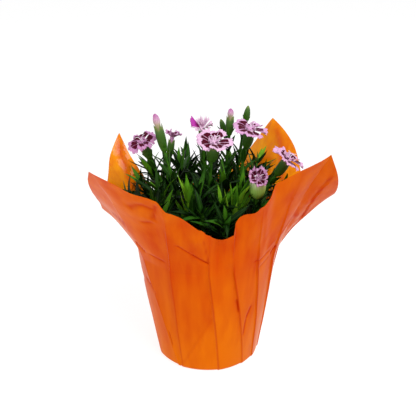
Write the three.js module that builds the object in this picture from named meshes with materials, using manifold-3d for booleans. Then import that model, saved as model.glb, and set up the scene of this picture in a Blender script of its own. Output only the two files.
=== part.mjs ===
// A flowering dianthus in its nursery pot, dressed in a pleated paper cover with four tall corners.
// Millimetres, +Z up. The origin is the middle of the cover's flat underside, and -Y is the front,
// where the cover's edge dips lowest. Azimuths are degrees from +X towards +Y, counted on past a turn.
import * as THREE from "three";
import { mergeVertices } from "three/addons/utils/BufferGeometryUtils.js";
import Module from "manifold-3d";

const wasm = await Module();
wasm.setup();
const { Manifold } = wasm;

// Driving dimensions
const GAP = 0.3; // left between pieces that rest on each other
const MERGE = 1e-4;
const GRIDS = [0.01, 0.02, 0.005, 0.04, 0.002]; // steps that corners are rounded to, in the order tried
const POT = { rimR: 60, neckR: 56.6, baseR: 43, height: 105, wall: 1.2, collar: 11, bulge: 1.5, sides: 20 };
const DRAIN = { count: 5, r: 4, ringR: 28, sides: 6 };
const COVER = { baseR: 48.5, rimR: 66, rimZ: 108.5, hem: 2, paper: 0.8, step: 1.8, flat: 0.6, flare: 0.3 };
const SOIL = { below: 9, crown: 2.5, rough: 1.3, rings: 3, sides: 14, room: 0.9, lip: 1 };
const LUMPS = { x: 0.37, startX: 1.3, y: 0.31, startY: -0.4, slant: 0.53, slanted: 0.6, fade: 6 };
const ROOTED = 5; // how deep every stem stands in the soil
const SHOOT_STEM = { r: 1.2, sides: 3, steps: 2, room: 1.4 };
const FLOWER_STEM = { r: 1.5, sides: 4, steps: 4, rise: 0.42, lean: 0.008, into: 0.6 };
const HOLE = { play: 1.9, deep: 30, below: 0.8, sides: 3 };
const CALYX = { length: 18, tooth: 1.6, socket: 0.71, socketDepth: 5.5, sides: 10, seat: 0.4 };
const TUBE = { foot: 0.6, swell: 0.35, mouth: 0.97, tip: 0.72, tipAt: 0.78 }; // shares of its r and length
const SCALES = { length: 10, half: 0.6, open: 46, bend: -30, keel: 1.1, turn: 20, step: 40 };
const CLAW = { neck: 0.8, top: 2.8, shoulder: 2.2, sides: 5 };
const PETAL = { thick: 0.7, foot: 1.2, shoulder: 0.6, notch: 0.88, round: 0.1, twist: 1.3, narrow: 0.6 };
const INNER = { count: 3, reach: 0.68, steeper: 20, lift: 0.5, fan: 27, teeth: 1, phase: 33 };
const OUTER = { count: 5, fan: 37, teeth: 3, closed: 76, opened: 12 };
const ROLLED = { fan: 19, teeth: 2, tilt: 42, droop: 0, twist: 4 }; // a petal that hasn't spread yet
const LEAF = { sections: 3, keel: 0.9, half: 3, length: 40, moreHalf: 0.9, moreLength: 12 };
const BLADE = { foot: 0.3, swell: 0.8, taper: 6, channel: 0.25, keelTaper: 0.55 };
const VARY = { twist: 16, length: 0.24, bend: 34, start: 25 }; // from one leaf pair to the next
const ROOM = { half: 0.7, keel: 0.8, over: 0.6, length: 3 }; // kept free round a leaf
const SHOOTS = { count: 23, spread: 43, turn: 137.5, phase: 320, seed: 37, height: 82, lean: 3, first: 0.7 };
const RIM_SHOOTS = { lean: 19, lower: 8, vary: 14 }; // how those near the rim differ, and how heights vary
const FRONT_ONES = { azimuth: 276, lean: -5, lower: 14 }; // and how those towards the front do
const potFloor = COVER.paper + GAP;
const potTop = potFloor + POT.height;
const soilTop = potTop - SOIL.below;

// Fold lines of the cover's wall: azimuth at the pot's rim, azimuth at the base.
const PLEATS = [
  [209, 236], [240, 240], [271, 282], [290, 312], [312, 330], [333, 352], [358, 376],
  [382, 400], [408, 424], [435, 448], [462, 474], [488, 500], [514, 528], [541, 563],
];
const COLUMNS = [0, 0.33, 0.66, 0.95]; // where a pleat's panel has its columns, fold to fold
const SNAP = { least: 0.05, most: 0.95, reach: 0.16 }; // how near a corner draws a column on to itself
const SKIRT = [0.35, 0.7, 1]; // its rows above the pot's rim, as shares of the way to the cut edge

// The cover's cut edge, in runs that meet at its corners and at the notch in front.
// Each point: azimuth at the pot's rim below it, its own azimuth, radius and height.
const EDGE_RUNS = [
  [ // front, left of the notch
    [207, 223, 125, 210], [215, 229, 118, 202], [224, 235.5, 108, 193], [232, 242, 97, 187],
    [240, 247, 91, 177], [250, 254, 83, 168], [262, 264, 80, 157], [277, 276, 68, 144.5],
    [284, 282, 72, 147], [290, 287.5, 75, 150],
  ],
  [ // front, right of the notch
    [290, 288, 74, 160], [294, 291.5, 77, 167], [304, 298, 82, 170], [314, 304, 84, 176],
    [322, 311, 86, 191], [330, 318, 96, 200], [343, 329, 115, 215],
  ],
  [ // right
    [343, 329, 115, 215], [348, 335, 117, 197], [356, 345, 115, 176], [362, 352, 112, 163],
    [374, 370, 100, 148], [384, 383, 101, 150], [392, 391, 106, 160], [398, 398, 109, 180],
    [404, 405, 110, 193], [410, 415, 114, 204],
  ],
  [ // back
    [410, 415, 114, 204], [415, 419, 110, 191], [420, 425, 105, 173], [427, 431, 99, 157],
    [440, 441, 92, 148], [462, 463, 90, 135], [478, 478, 97, 128], [488, 487, 107, 134],
    [494, 493, 111, 160], [499, 499, 117, 193],
  ],
  [ // left
    [499, 499, 117, 193], [506, 508, 112, 177], [514, 517, 104, 164], [524, 525, 99, 154],
    [536, 536, 96, 148], [548, 549, 96, 152], [558, 559, 101, 166], [563, 571, 113, 188],
    [567, 583, 125, 210],
  ],
];

// Blooms: middle of the face, the way it faces, radius, how far it has opened, how far its rim droops and
// its calyx's radius. stands is the azimuth of a petal that hasn't unrolled.
const BLOOMS = [
  { name: "left", at: [-57, -5, 208], faces: [-0.3, -0.34, 0.89], r: 15.5, open: 0.85, droop: 1.2, cup: 4.2 },
  { name: "left_back", at: [-33, 25, 203], faces: [0.15, 0.1, 0.98], r: 12, open: 0.5, droop: 0.3, cup: 3.2 },
  {
    name: "top", at: [-5, 14, 215], faces: [-0.05, -0.15, 0.98], r: 14, open: 0.6, droop: 0.3, cup: 3.8,
    stands: 186,
  },
  { name: "middle", at: [5, -25, 214], faces: [0.1, -0.3, 0.95], r: 17.5, open: 0.9, droop: 0.4, cup: 5.6 },
  { name: "right_back", at: [37, 3, 218], faces: [0.16, -0.16, 0.97], r: 17, open: 1, droop: 0.7, cup: 4.8 },
  { name: "right", at: [70, -8, 194], faces: [0.52, -0.1, 0.85], r: 16.5, open: 0.95, droop: 0.6, cup: 4.6 },
  { name: "right_front", at: [42, -42, 188], faces: [0, -0.75, 0.66], r: 12, open: 0.5, droop: 0.2, cup: 6 },
];
const BLOOM_ROOTS = [[-17, -3], [-12, 14], [-4, 8], [3, -13], [14, 2], [24, -7], [20, -24]]; // on the soil

// Buds: foot and tip of the calyx, how far petals show beyond it, and its root on the soil.
const BUDS = [
  { name: "left", foot: [-37.5, -14, 203], tip: [-43, -14, 227], shows: 9.5, r: 4.4, root: [-9, -12] },
  { name: "back", foot: [19, 17, 208.5], tip: [20, 17, 226.5], shows: 6.5, r: 3.6, root: [6, 17] },
  { name: "small", foot: [15, 27, 208], tip: [11.5, 27, 221], shows: 0, r: 2.8, root: [0, 27] },
  { name: "high", foot: [34, 29, 217], tip: [36.5, 29, 233], shows: 0, r: 3.1, root: [17, 24] },
];
const FURLED = {
  ribs: 5, rib: 0.1, twist: 0.9, sides: 10, collar: 0.4, waist: [0.86, 0.35], neck: 0.62, tip: 2.2,
};

// Shoots that stand at the front: root on the soil, which way they lean and how far (degrees), how wide
// their leaves spread and how long they are, as a share of full ones.
const FRONT_SHOOTS = [
  { root: [-11, -33], azimuth: 200, lean: 3, height: 66, spread: 0.45, size: 0.9 },
  { root: [14, -31], azimuth: 330, lean: 9, height: 78, spread: 0.45, size: 1 },
  { root: [2, -39], azimuth: 150, lean: 3, height: 34, spread: 1.5, size: 0.6 },
];

// Crossed pairs of leaves up a shoot, and the one pair on a flower's stem. share: place along the stem;
// length and half width as shares of a full leaf; open and bend in degrees.
const LEAF_PAIRS = [
  { share: 0.36, length: 1, half: 1, open: 40, bend: 34 },
  { share: 0.54, length: 1, half: 1, open: 38, bend: 30 },
  { share: 0.7, length: 0.86, half: 0.92, open: 34, bend: 26 },
  { share: 0.85, length: 0.66, half: 0.82, open: 28, bend: 22 },
  { share: 0.98, length: 0.44, half: 0.7, open: 14, bend: 18 },
];
const STEM_PAIRS = [{ share: 0.76, length: 0.52, half: 0.7, open: 24, bend: 26 }];
const NUDGES = [0, 9, -9, 18, -18, 27]; // degrees a shoot is moved round to stand clear
const TURNS = [0, 18, -18, 36, -36, 54, -54, 72]; // turns and sizes tried for a pair, to pass its neighbours
const SIZES = [1, 0.8, 0.6];

const UP = new THREE.Vector3(0, 0, 1);
const rad = THREE.MathUtils.degToRad;
const lerp = THREE.MathUtils.lerp;
const polar = (azimuth, r, z) => new THREE.Vector3(r * Math.cos(rad(azimuth)), r * Math.sin(rad(azimuth)), z);

// The same seeded draw for a whole number n, from 0 to 1.
function chance(n) {
  const x = Math.sin(n * 12.9898) * 43758.5453;
  return x - Math.floor(x);
}

// Solids and geometries

// The corners and triangles of a geometry, with shared corners merged and collapsed triangles dropped.
function welded(geometry) {
  const bare = new THREE.BufferGeometry();
  bare.setAttribute("position", geometry.getAttribute("position").clone());
  if (geometry.index) bare.setIndex(geometry.index.clone());
  const merged = mergeVertices(bare, MERGE);
  const all = [...merged.index.array];
  const kept = [];
  for (let i = 0; i < all.length; i += 3) {
    const [a, b, c] = all.slice(i, i + 3);
    if (a !== b && b !== c && c !== a) kept.push(a, b, c);
  }
  return { vertProperties: merged.attributes.position.array, triVerts: new Uint32Array(kept) };
}

const solidOf = (geometry) => new Manifold(new wasm.Mesh({ numProp: 3, ...welded(geometry) }));

// The largest body of a solid, without the loose scraps and sealed hollows that a join can leave.
function wholeOf(solid) {
  const bodies = solid.decompose().sort((a, b) => b.volume() - a.volume());
  return bodies[0];
}

function indexed(vertProperties, triVerts) {
  const geometry = new THREE.BufferGeometry();
  geometry.setAttribute("position", new THREE.BufferAttribute(new Float32Array(vertProperties), 3));
  geometry.setIndex(new THREE.BufferAttribute(new Uint32Array(triVerts), 1));
  return geometry;
}

// Whether each edge of the triangles is met once from either side.
function isClosed(triVerts) {
  const edges = new Set();
  for (let i = 0; i < triVerts.length; i++) {
    const next = i % 3 === 2 ? i - 2 : i + 1;
    const edge = `${triVerts[i]} ${triVerts[next]}`;
    if (edges.has(edge)) return false;
    edges.add(edge);
  }
  return [...edges].every((edge) => edges.has(edge.split(" ").reverse().join(" ")));
}

// A solid's geometry with its corners on a fine grid, so that none are left almost touching.
function geometryOf(solid) {
  const { vertProperties, triVerts } = solid.getMesh();
  for (const grid of GRIDS) {
    const corners = Array.from(vertProperties, (value) => Math.round(value / grid) * grid);
    const neat = welded(indexed(corners, triVerts));
    if (!isClosed(neat.triVerts)) continue;
    const geometry = indexed(neat.vertProperties, neat.triVerts);
    geometry.computeVertexNormals();
    return geometry;
  }
  throw new Error("a joined solid doesn't close on any grid");
}

// Moves each vertex of a geometry to where place(x, y, z, index) says.
function reshape(geometry, place) {
  const spots = geometry.getAttribute("position");
  for (let i = 0; i < spots.count; i++) {
    const to = place(spots.getX(i), spots.getY(i), spots.getZ(i), i);
    spots.setXYZ(i, to.x, to.y, to.z);
  }
  return geometry;
}

const unionOf = (solids) => Manifold.union(solids);
const clearOf = (solid, others) => others.every((other) => solid.intersect(other).isEmpty());

// A smooth value through the rows of a table at x, where column 0 is x; its ends are free.
function through(rows, x, column) {
  let i = 0;
  while (i < rows.length - 2 && rows[i + 1][0] < x) i++;
  const [a, b] = [rows[i], rows[i + 1]];
  const before = rows[Math.max(i - 1, 0)];
  const after = rows[Math.min(i + 2, rows.length - 1)];
  const span = b[0] - a[0];
  const slope = (p, q) => (q[column] - p[column]) / (q[0] - p[0]);
  const t = THREE.MathUtils.clamp((x - a[0]) / span, 0, 1);
  const into = slope(before, b) * span;
  const out = slope(a, after) * span;
  const h = [2 * t ** 3 - 3 * t ** 2 + 1, t ** 3 - 2 * t ** 2 + t, 3 * t ** 2 - 2 * t ** 3, t ** 3 - t ** 2];
  return h[0] * a[column] + h[1] * into + h[2] * b[column] + h[3] * out;
}

// The pot cover: one sheet of paper, pleated to the pot below its rim and flared above it

function coverEdge(rimAzimuth) {
  const first = EDGE_RUNS[0][0][0];
  const x = first + ((((rimAzimuth - first) % 360) + 360) % 360);
  const run = EDGE_RUNS.find((rows) => x < rows[rows.length - 1][0]) ?? EDGE_RUNS[EDGE_RUNS.length - 1];
  return { azimuth: through(run, x, 1), r: through(run, x, 2), z: through(run, x, 3) };
}

const shortTurn = (angle) => ((((angle + 180) % 360) + 360) % 360) - 180;

// Where a column of the sheet runs: its azimuths at the rim and the base, and its radii there.
function columnAt(pleat, q) {
  const [rimA, baseA] = PLEATS[pleat];
  const [rimB, baseB] = PLEATS[pleat + 1] ?? [PLEATS[0][0] + 360, PLEATS[0][1] + 360];
  const half = rad((rimB - rimA) / 2);
  const chord = Math.cos(half) / Math.cos((2 * q - 1) * half);
  const facet = 1 + COVER.flat * (chord - 1);
  return {
    rimAz: lerp(rimA, rimB, q), baseAz: lerp(baseA, baseB, q),
    rimR: COVER.rimR * facet - COVER.step * q, baseR: COVER.baseR * facet - COVER.step * q,
  };
}

// A point of the wall, from the base up to the pot's rim; its hem is tucked in under the pot.
function wallPoint(column, z, inside) {
  const { rimAz, baseAz, rimR, baseR } = column;
  const up = z / COVER.rimZ;
  const tuck = z === 0 ? COVER.hem : 0;
  const paper = inside ? COVER.paper : 0;
  return polar(lerp(baseAz, rimAz, up), lerp(baseR, rimR, up) - tuck - paper, z === 0 ? paper : z);
}

// A point of the flared skirt, at a share of the way from the pot's rim to the cut edge.
function skirtPoint(column, share, inside) {
  const { rimAz, rimR } = column;
  const edge = coverEdge(rimAz);
  const spread = Math.atan2(edge.r - rimR, edge.z - COVER.rimZ);
  const paper = inside ? COVER.paper : 0;
  const r = lerp(rimR, edge.r, share * (1 + COVER.flare * (share - 1)));
  const z = lerp(COVER.rimZ, edge.z, share);
  const azimuth = rimAz + shortTurn(edge.azimuth - rimAz) * share;
  return polar(azimuth, r - paper * Math.cos(spread), z + paper * Math.sin(spread));
}

// A column moved on to the corner or notch of the edge that is nearest to it, if one is near.
function snapped(pleat, q) {
  const [start] = PLEATS[pleat];
  const end = PLEATS[pleat + 1]?.[0] ?? PLEATS[0][0] + 360;
  const shares = EDGE_RUNS.map((run) => (run[run.length - 1][0] - start) / (end - start));
  return shares.find((at) => at > SNAP.least && at < SNAP.most && Math.abs(at - q) < SNAP.reach) ?? q;
}

// Splits the quads of a lathed sheet's inner half on the same diagonal as those of its outer half, so that
// the two faces keep apart where the sheet twists.
function splitAlike(sheet, quads) {
  const index = sheet.index.array;
  for (let i = 0; i < index.length; i += 6) {
    if ((i / 6) % quads < quads / 2) continue;
    const [a, b, d, c] = index.slice(i, i + 4);
    index.set([a, b, c, a, c, d], i);
  }
  return sheet;
}

function makeCover() {
  const wall = [0, COVER.hem, COVER.rimZ].map((z) => (column, inside) => wallPoint(column, z, inside));
  const skirt = SKIRT.map((share) => (column, inside) => skirtPoint(column, share, inside));
  const outward = [...wall, ...skirt];
  const inward = outward.map((row) => (column) => row(column, true)).reverse();
  const low = () => new THREE.Vector3(0, 0, 0);
  const high = () => new THREE.Vector3(0, 0, COVER.paper);
  const profile = [low, ...outward, ...inward, high];
  const columns = PLEATS.flatMap((_, pleat) => COLUMNS.map((q) => columnAt(pleat, snapped(pleat, q))));
  const outline = profile.map((_, i) => new THREE.Vector2(i && i < profile.length - 1 ? 1 : 0, i));
  const sheet = splitAlike(new THREE.LatheGeometry(outline, columns.length), profile.length - 1);
  return reshape(sheet, (x, y, z, index) => {
    const column = columns[Math.floor(index / profile.length) % columns.length];
    return profile[index % profile.length](column, false);
  });
}

// The nursery pot and what it holds

function lathe(points, sides) {
  const outline = points.map(([r, z]) => new THREE.Vector2(r, z));
  return new THREE.LatheGeometry(outline, sides).rotateX(Math.PI / 2);
}

function makePot() {
  const { rimR, neckR, baseR, wall, collar, bulge, sides } = POT;
  const [low, high] = [potFloor, potTop];
  const neck = high - collar;
  const outside = [[0, low], [baseR, low], [neckR, neck], [rimR, neck + bulge], [rimR, high]];
  const inside = [[rimR - wall, high], [neckR - wall, neck], [baseR - wall, low + wall], [0, low + wall]];
  const shell = solidOf(lathe([...outside, ...inside], sides));
  const drains = [];
  for (let i = 0; i < DRAIN.count; i++) {
    const at = polar((360 / DRAIN.count) * i, DRAIN.ringR, low + wall / 2);
    const drill = new THREE.CylinderGeometry(DRAIN.r, DRAIN.r, wall * 3, DRAIN.sides).rotateX(Math.PI / 2);
    drains.push(solidOf(drill.translate(at.x, at.y, at.z)));
  }
  return shell.subtract(unionOf(drains));
}

// The inside of the pot's wall at a height, less a little room.
function soilRadius(z) {
  const up = (z - potFloor) / (POT.height - POT.collar);
  return lerp(POT.baseR, POT.neckR, up) - POT.wall - SOIL.room;
}

// The potting soil fills the pot, domed and lumpy on top.
function makeSoil() {
  const { rings, sides, crown, rough, lip } = SOIL;
  const low = potFloor + POT.wall + GAP;
  const topR = soilRadius(soilTop - lip);
  const outline = [[0, low], [soilRadius(low), low]];
  for (let i = rings; i >= 0; i--) outline.push([(topR * i) / rings, soilTop]);
  const heap = lathe(outline, sides);
  reshape(heap, (x, y, z) => {
    const out = Math.hypot(x, y) / topR;
    if (z < soilTop - lip || out > 0.99) return new THREE.Vector3(x, y, z);
    const wave = Math.sin(x * LUMPS.x + LUMPS.startX) * Math.cos(y * LUMPS.y + LUMPS.startY);
    const lump = wave + LUMPS.slanted * Math.sin((x + y) * LUMPS.slant);
    return new THREE.Vector3(x, y, z + crown * (1 - out ** 2) + rough * lump * (1 - out ** LUMPS.fade));
  });
  return solidOf(heap);
}

// Leaves, stems and flowers

// Where a leaf's midrib is at t, 0 at the stem to 1 at the tip, and which way its upper face looks there.
// It starts at the angle open from the stem's axis and turns by bend on its way.
function midrib({ from, axis, side, length, open, bend }, t) {
  const turned = open + bend * t;
  const out = (length / bend) * (Math.cos(open) - Math.cos(turned));
  const up = (length / bend) * (Math.sin(turned) - Math.sin(open));
  const spot = from.clone().addScaledVector(side, out).addScaledVector(axis, up);
  const face = axis.clone().multiplyScalar(Math.sin(turned)).addScaledVector(side, -Math.cos(turned));
  return { spot, face };
}

function bladeWidth(t) {
  const { foot, swell, taper } = BLADE;
  return (foot + (1 - foot) * Math.sin(Math.PI * t ** swell)) * (1 - t ** taper);
}

// A pair of opposite leaves, joined at the foot through the stem: a keeled blade from tip to tip.
// over is extra thickness on the upper face.
function leafPair(leaf) {
  const { from, axis, side, half, keel, over = 0 } = leaf;
  const across = new THREE.Vector3().crossVectors(axis, side).normalize();
  const spindle = new THREE.SphereGeometry(1, 3, 2 * LEAF.sections);
  return reshape(spindle, (x, y, z) => {
    const t = Math.abs(1 - (2 * Math.acos(THREE.MathUtils.clamp(y, -1, 1))) / Math.PI);
    const hand = y < 0 ? -1 : 1;
    const { spot, face } = midrib({ ...leaf, side: side.clone().multiplyScalar(hand) }, t);
    if (t > 0.999) return spot;
    const wide = half * bladeWidth(t);
    const sideways = (z / Math.hypot(x, z) / Math.sin(Math.PI / 3)) * wide;
    const up = x < 0 ? -keel * (1 - BLADE.keelTaper * t) : BLADE.channel * wide + over;
    if (t < 0.001) return from.clone().addScaledVector(across, sideways).addScaledVector(axis, up);
    return spot.addScaledVector(across, sideways).addScaledVector(face, up);
  });
}

// The unit vector square to an axis, towards an azimuth and then turned round the axis.
function turnedSide(axis, azimuth, turn) {
  const side = polar(azimuth, 1, 0);
  side.addScaledVector(axis, -side.dot(axis)).normalize();
  return side.applyAxisAngle(axis, rad(turn));
}

function stemAlong(curve, { sides, steps }, r) {
  const ring = [];
  for (let i = 0; i < sides; i++) {
    const a = (2 * Math.PI * i) / sides;
    ring.push(new THREE.Vector2(r * Math.cos(a), r * Math.sin(a)));
  }
  const options = { steps, extrudePath: curve, bevelEnabled: false };
  return solidOf(new THREE.ExtrudeGeometry(new THREE.Shape(ring), options));
}

// From the hole in the soil, up and over to a head, arriving the way the head points.
function flowerStemCurve(root, head, way) {
  const foot = new THREE.Vector3(root[0], root[1], soilTop - ROOTED);
  const rise = (head.z - foot.z) * FLOWER_STEM.rise;
  const lean = new THREE.Vector3(root[0] * FLOWER_STEM.lean, root[1] * FLOWER_STEM.lean, 1);
  const low = foot.clone().addScaledVector(lean, rise);
  return new THREE.CubicBezierCurve3(foot, low, head.clone().addScaledVector(way, -rise), head);
}

// Turns a shape made along +Z to stand at a point and point a given way.
function stand(geometry, at, way) {
  const turn = new THREE.Quaternion().setFromUnitVectors(UP, way);
  return geometry.applyQuaternion(turn).translate(at.x, at.y, at.z);
}

// The green tube under a flower, with five teeth and a socket for the claws of its petals.
function calyx(foot, way, length, r, socketR) {
  const { socketDepth, sides, tooth } = CALYX;
  const low = length - socketDepth;
  const outline = [[0, 0], [r * TUBE.foot, 0], [r, length * TUBE.swell]];
  if (socketR) outline.push([r * TUBE.mouth, length], [socketR, length], [socketR, low], [0, low]);
  else outline.push([r * TUBE.tip, length * TUBE.tipAt], [0, length]);
  const tube = reshape(lathe(outline, sides), (x, y, z) => {
    const between = Math.sin((sides / 2) * Math.atan2(y, x)) < 0;
    const lowered = socketR && between && z > length - 0.01;
    return new THREE.Vector3(x, y, lowered ? z - tooth : z);
  });
  return solidOf(stand(tube, foot, way));
}

// One petal as a fan with a toothed rim, in the bloom's own frame, +Z out of its face. It rises at tilt
// and droops towards its rim; one edge lies over its neighbour and the other under.
function petal(turn, { reach, fan, teeth, tilt, droop, lift = 0, twist = PETAL.twist }) {
  const { thick, foot, shoulder, notch, round, narrow } = PETAL;
  const outline = [new THREE.Vector2(-1, 0), new THREE.Vector2(1, 0), new THREE.Vector2(1, shoulder)];
  for (let i = 0; i <= 2 * teeth; i++) outline.push(new THREE.Vector2(1 - i / teeth, i % 2 ? notch : 1));
  outline.push(new THREE.Vector2(-1, shoulder));
  const sheet = new THREE.ExtrudeGeometry(new THREE.Shape(outline), { depth: thick, bevelEnabled: false });
  return reshape(sheet, (x, v, z) => {
    const out = lerp(foot, reach * (1 - round * x * x), v);
    const flat = out * Math.cos(rad(tilt));
    const up = out * Math.sin(rad(tilt)) * (1 - droop * v * v) + (twist * x + lift) * v;
    return polar(turn - fan * x * (v ? 1 : narrow), flat, up + z - thick / 2);
  });
}

// Petals in two layers on one claw that stands in the calyx.
function bloom({ at, faces, r, open, droop, cup, stands }) {
  const clawR = cup * CALYX.socket - GAP;
  const low = GAP + CALYX.seat - CALYX.socketDepth;
  const neck = clawR * CLAW.neck;
  const above = [[clawR, 0], [neck, CLAW.shoulder], [0, CLAW.top]];
  const claw = lathe([[0, low], [neck, low], ...above], CLAW.sides);
  const pieces = [solidOf(claw)];
  const tilt = lerp(OUTER.closed, OUTER.opened, open);
  const { count, fan, teeth } = OUTER;
  for (let i = 0; i < count; i++) {
    pieces.push(solidOf(petal((360 / count) * i, { reach: r, fan, teeth, tilt, droop })));
  }
  const inner = { ...INNER, reach: r * INNER.reach, tilt: tilt + INNER.steeper, droop: droop / 2 };
  for (let i = 0; i < INNER.count; i++) {
    pieces.push(solidOf(petal((360 / INNER.count) * i + INNER.phase, inner)));
  }
  if (stands) {
    pieces.push(solidOf(petal(stands, { ...ROLLED, reach: r })));
  }
  const way = new THREE.Vector3(...faces).normalize();
  return solidOf(stand(geometryOf(wholeOf(unionOf(pieces))), new THREE.Vector3(...at), way));
}

// The green stem, scales and calyx under a flower or bud, and the leaf pairs it is to carry.
function flowerStem({ name, foot, way, root, calyxSolid, r, seed }) {
  const inFoot = foot.clone().addScaledVector(way, FLOWER_STEM.into);
  const curve = flowerStemCurve(root, inFoot, way);
  const side = turnedSide(way, seed * SCALES.step, SCALES.turn);
  const [open, bend] = [rad(SCALES.open), rad(SCALES.bend)];
  const scales = leafPair({ ...SCALES, half: SCALES.half * r, from: inFoot, axis: way, side, open, bend });
  const bare = unionOf([stemAlong(curve, FLOWER_STEM, FLOWER_STEM.r), calyxSolid, solidOf(scales)]);
  const leaves = { pairs: STEM_PAIRS, azimuth: 90 * seed, seed: 60 + seed, spread: 1, size: 1 };
  return { name, look: "stem", curve, make: FLOWER_STEM, bare, ...leaves };
}

function makeFlowers() {
  const [stems, petals] = [[], []];
  BLOOMS.forEach((flower, seed) => {
    const { name, at, faces, cup } = flower;
    const root = BLOOM_ROOTS[seed];
    const way = new THREE.Vector3(...faces).normalize();
    const foot = new THREE.Vector3(...at).addScaledVector(way, -CALYX.length - CALYX.seat);
    const calyxSolid = calyx(foot, way, CALYX.length, cup, cup * CALYX.socket);
    stems.push(flowerStem({ name: `flower_stem_${name}`, foot, way, root, calyxSolid, r: cup, seed }));
    petals.push({ name: `bloom_${name}`, look: "petal", solid: bloom(flower) });
  });
  BUDS.forEach((bud, i) => {
    const { name, root, r, shows } = bud;
    const foot = new THREE.Vector3(...bud.foot);
    const way = new THREE.Vector3(...bud.tip).sub(foot);
    const length = way.length();
    way.normalize();
    const calyxSolid = calyx(foot, way, length, r, shows ? r * CALYX.socket : 0);
    const seed = i + BLOOMS.length;
    stems.push(flowerStem({ name: `bud_stem_${name}`, foot, way, root, calyxSolid, r, seed }));
    if (!shows) return;
    petals.push({ name: `bud_petals_${name}`, look: "petal", solid: furledPetals(foot, way, length, bud) });
  });
  return { stems, petals };
}

// Petals still rolled up: a ribbed, twisted cone that stands in the calyx.
function furledPetals(foot, way, length, { shows, r }) {
  const { ribs, rib, twist, sides, collar, waist, neck, tip } = FURLED;
  const low = length - CALYX.socketDepth + GAP;
  const top = length + shows;
  const snug = r * CALYX.socket - GAP;
  const outline = [[0, low], [snug, low], [snug, length + collar], [r * waist[0], length + shows * waist[1]]];
  outline.push([r * neck, top - tip], [0, top]);
  const roll = reshape(lathe(outline, sides), (x, y, z) => {
    const a = Math.atan2(y, x);
    const out = Math.hypot(x, y) * (z > length ? 1 + rib * Math.cos(ribs * a) : 1);
    const spun = a + (Math.max(z - length, 0) / shows) * twist;
    return new THREE.Vector3(out * Math.cos(spun), out * Math.sin(spun), z);
  });
  return solidOf(stand(roll, foot, way));
}

// Leafy shoots and the leaves of every stem

function shootAlong(x, y, azimuth, lean, height) {
  const foot = new THREE.Vector3(x, y, soilTop - ROOTED);
  const outward = polar(azimuth, 1, 0);
  const at = (out, up) => outward.clone().multiplyScalar(out).addScaledVector(UP, up).multiplyScalar(height);
  const knee = at(0.35 * Math.sin(rad(lean)), 0.5).add(foot);
  const tip = at(Math.sin(rad(1.25 * lean)), Math.cos(rad(lean))).add(foot);
  return new THREE.QuadraticBezierCurve3(foot, knee, tip);
}

// One shoot of the spiral, leaning further out and standing lower towards the rim and the front.
function spiralShoot(i, nudge) {
  const azimuth = SHOOTS.turn * i + SHOOTS.phase + nudge;
  const reach = Math.sqrt((i + SHOOTS.first) / SHOOTS.count);
  const foot = polar(azimuth, SHOOTS.spread * reach, 0);
  const toFront = Math.cos(rad(azimuth - FRONT_ONES.azimuth));
  const lean = SHOOTS.lean + reach * (RIM_SHOOTS.lean + FRONT_ONES.lean * toFront);
  const full = SHOOTS.height + RIM_SHOOTS.vary * (chance(SHOOTS.seed + i) - 0.5);
  const height = full - reach * (RIM_SHOOTS.lower + FRONT_ONES.lower * toFront);
  return { azimuth, spread: 1, size: 1, curve: shootAlong(foot.x, foot.y, azimuth, lean, height) };
}

function frontShoot({ root, azimuth, lean, height, spread, size }) {
  return { azimuth, spread, size, curve: shootAlong(root[0], root[1], azimuth, lean, height) };
}

// Stands the shoots where their stems pass the others, front ones first; one that can't is left out.
function makeShoots(obstacles) {
  const made = [];
  for (let seed = 0; seed < FRONT_SHOOTS.length + SHOOTS.count; seed++) {
    const front = FRONT_SHOOTS[seed];
    const place = seed - FRONT_SHOOTS.length;
    const options = front ? [frontShoot(front)] : NUDGES.map((nudge) => spiralShoot(place, nudge));
    const others = [...obstacles, ...made.map((shoot) => shoot.bare)];
    const roomy = ({ curve }) => stemAlong(curve, SHOOT_STEM, SHOOT_STEM.r + SHOOT_STEM.room);
    const found = options.find((option) => clearOf(roomy(option), others));
    if (!found) continue;
    const name = `leafy_shoot_${String(made.length + 1).padStart(2, "0")}`;
    const bare = stemAlong(found.curve, SHOOT_STEM, SHOOT_STEM.r);
    made.push({ name, look: "leaf", ...found, make: SHOOT_STEM, bare, pairs: LEAF_PAIRS, seed });
  }
  return made;
}

function pairOf({ curve, azimuth, seed, pairs, spread, size }, pair, turn, smaller) {
  const { share, length, half, open, bend } = pairs[pair];
  const draw = chance(SHOOTS.seed + 100 + seed * 20 + pair);
  const full = LEAF.length + LEAF.moreLength * chance(seed + 3);
  const axis = curve.getTangent(share);
  return {
    from: curve.getPoint(share),
    axis,
    side: turnedSide(axis, azimuth + VARY.start, 90 * pair + turn + VARY.twist * (draw - 0.5)),
    length: full * length * (1 + VARY.length * (draw - 0.5)) * size * smaller,
    half: (LEAF.half + LEAF.moreHalf * chance(seed + 50)) * half,
    open: rad(open * spread),
    bend: rad(bend * spread + VARY.bend * (draw - 0.5)),
    keel: LEAF.keel,
  };
}

// The first turn and size of a leaf pair that keep it clear of its neighbours and of its own stem's pairs.
function placedPair(stem, pair, others, own) {
  for (const smaller of SIZES) {
    for (const turn of TURNS) {
      const leaf = pairOf(stem, pair, turn, smaller);
      const solid = solidOf(leafPair(leaf));
      const roomy = { ...leaf, over: ROOM.over, keel: leaf.keel + ROOM.keel };
      roomy.half += ROOM.half;
      roomy.length += ROOM.length;
      if (clearOf(solid, own) && clearOf(solidOf(leafPair(roomy)), others)) return solid;
    }
  }
  return null;
}

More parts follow.
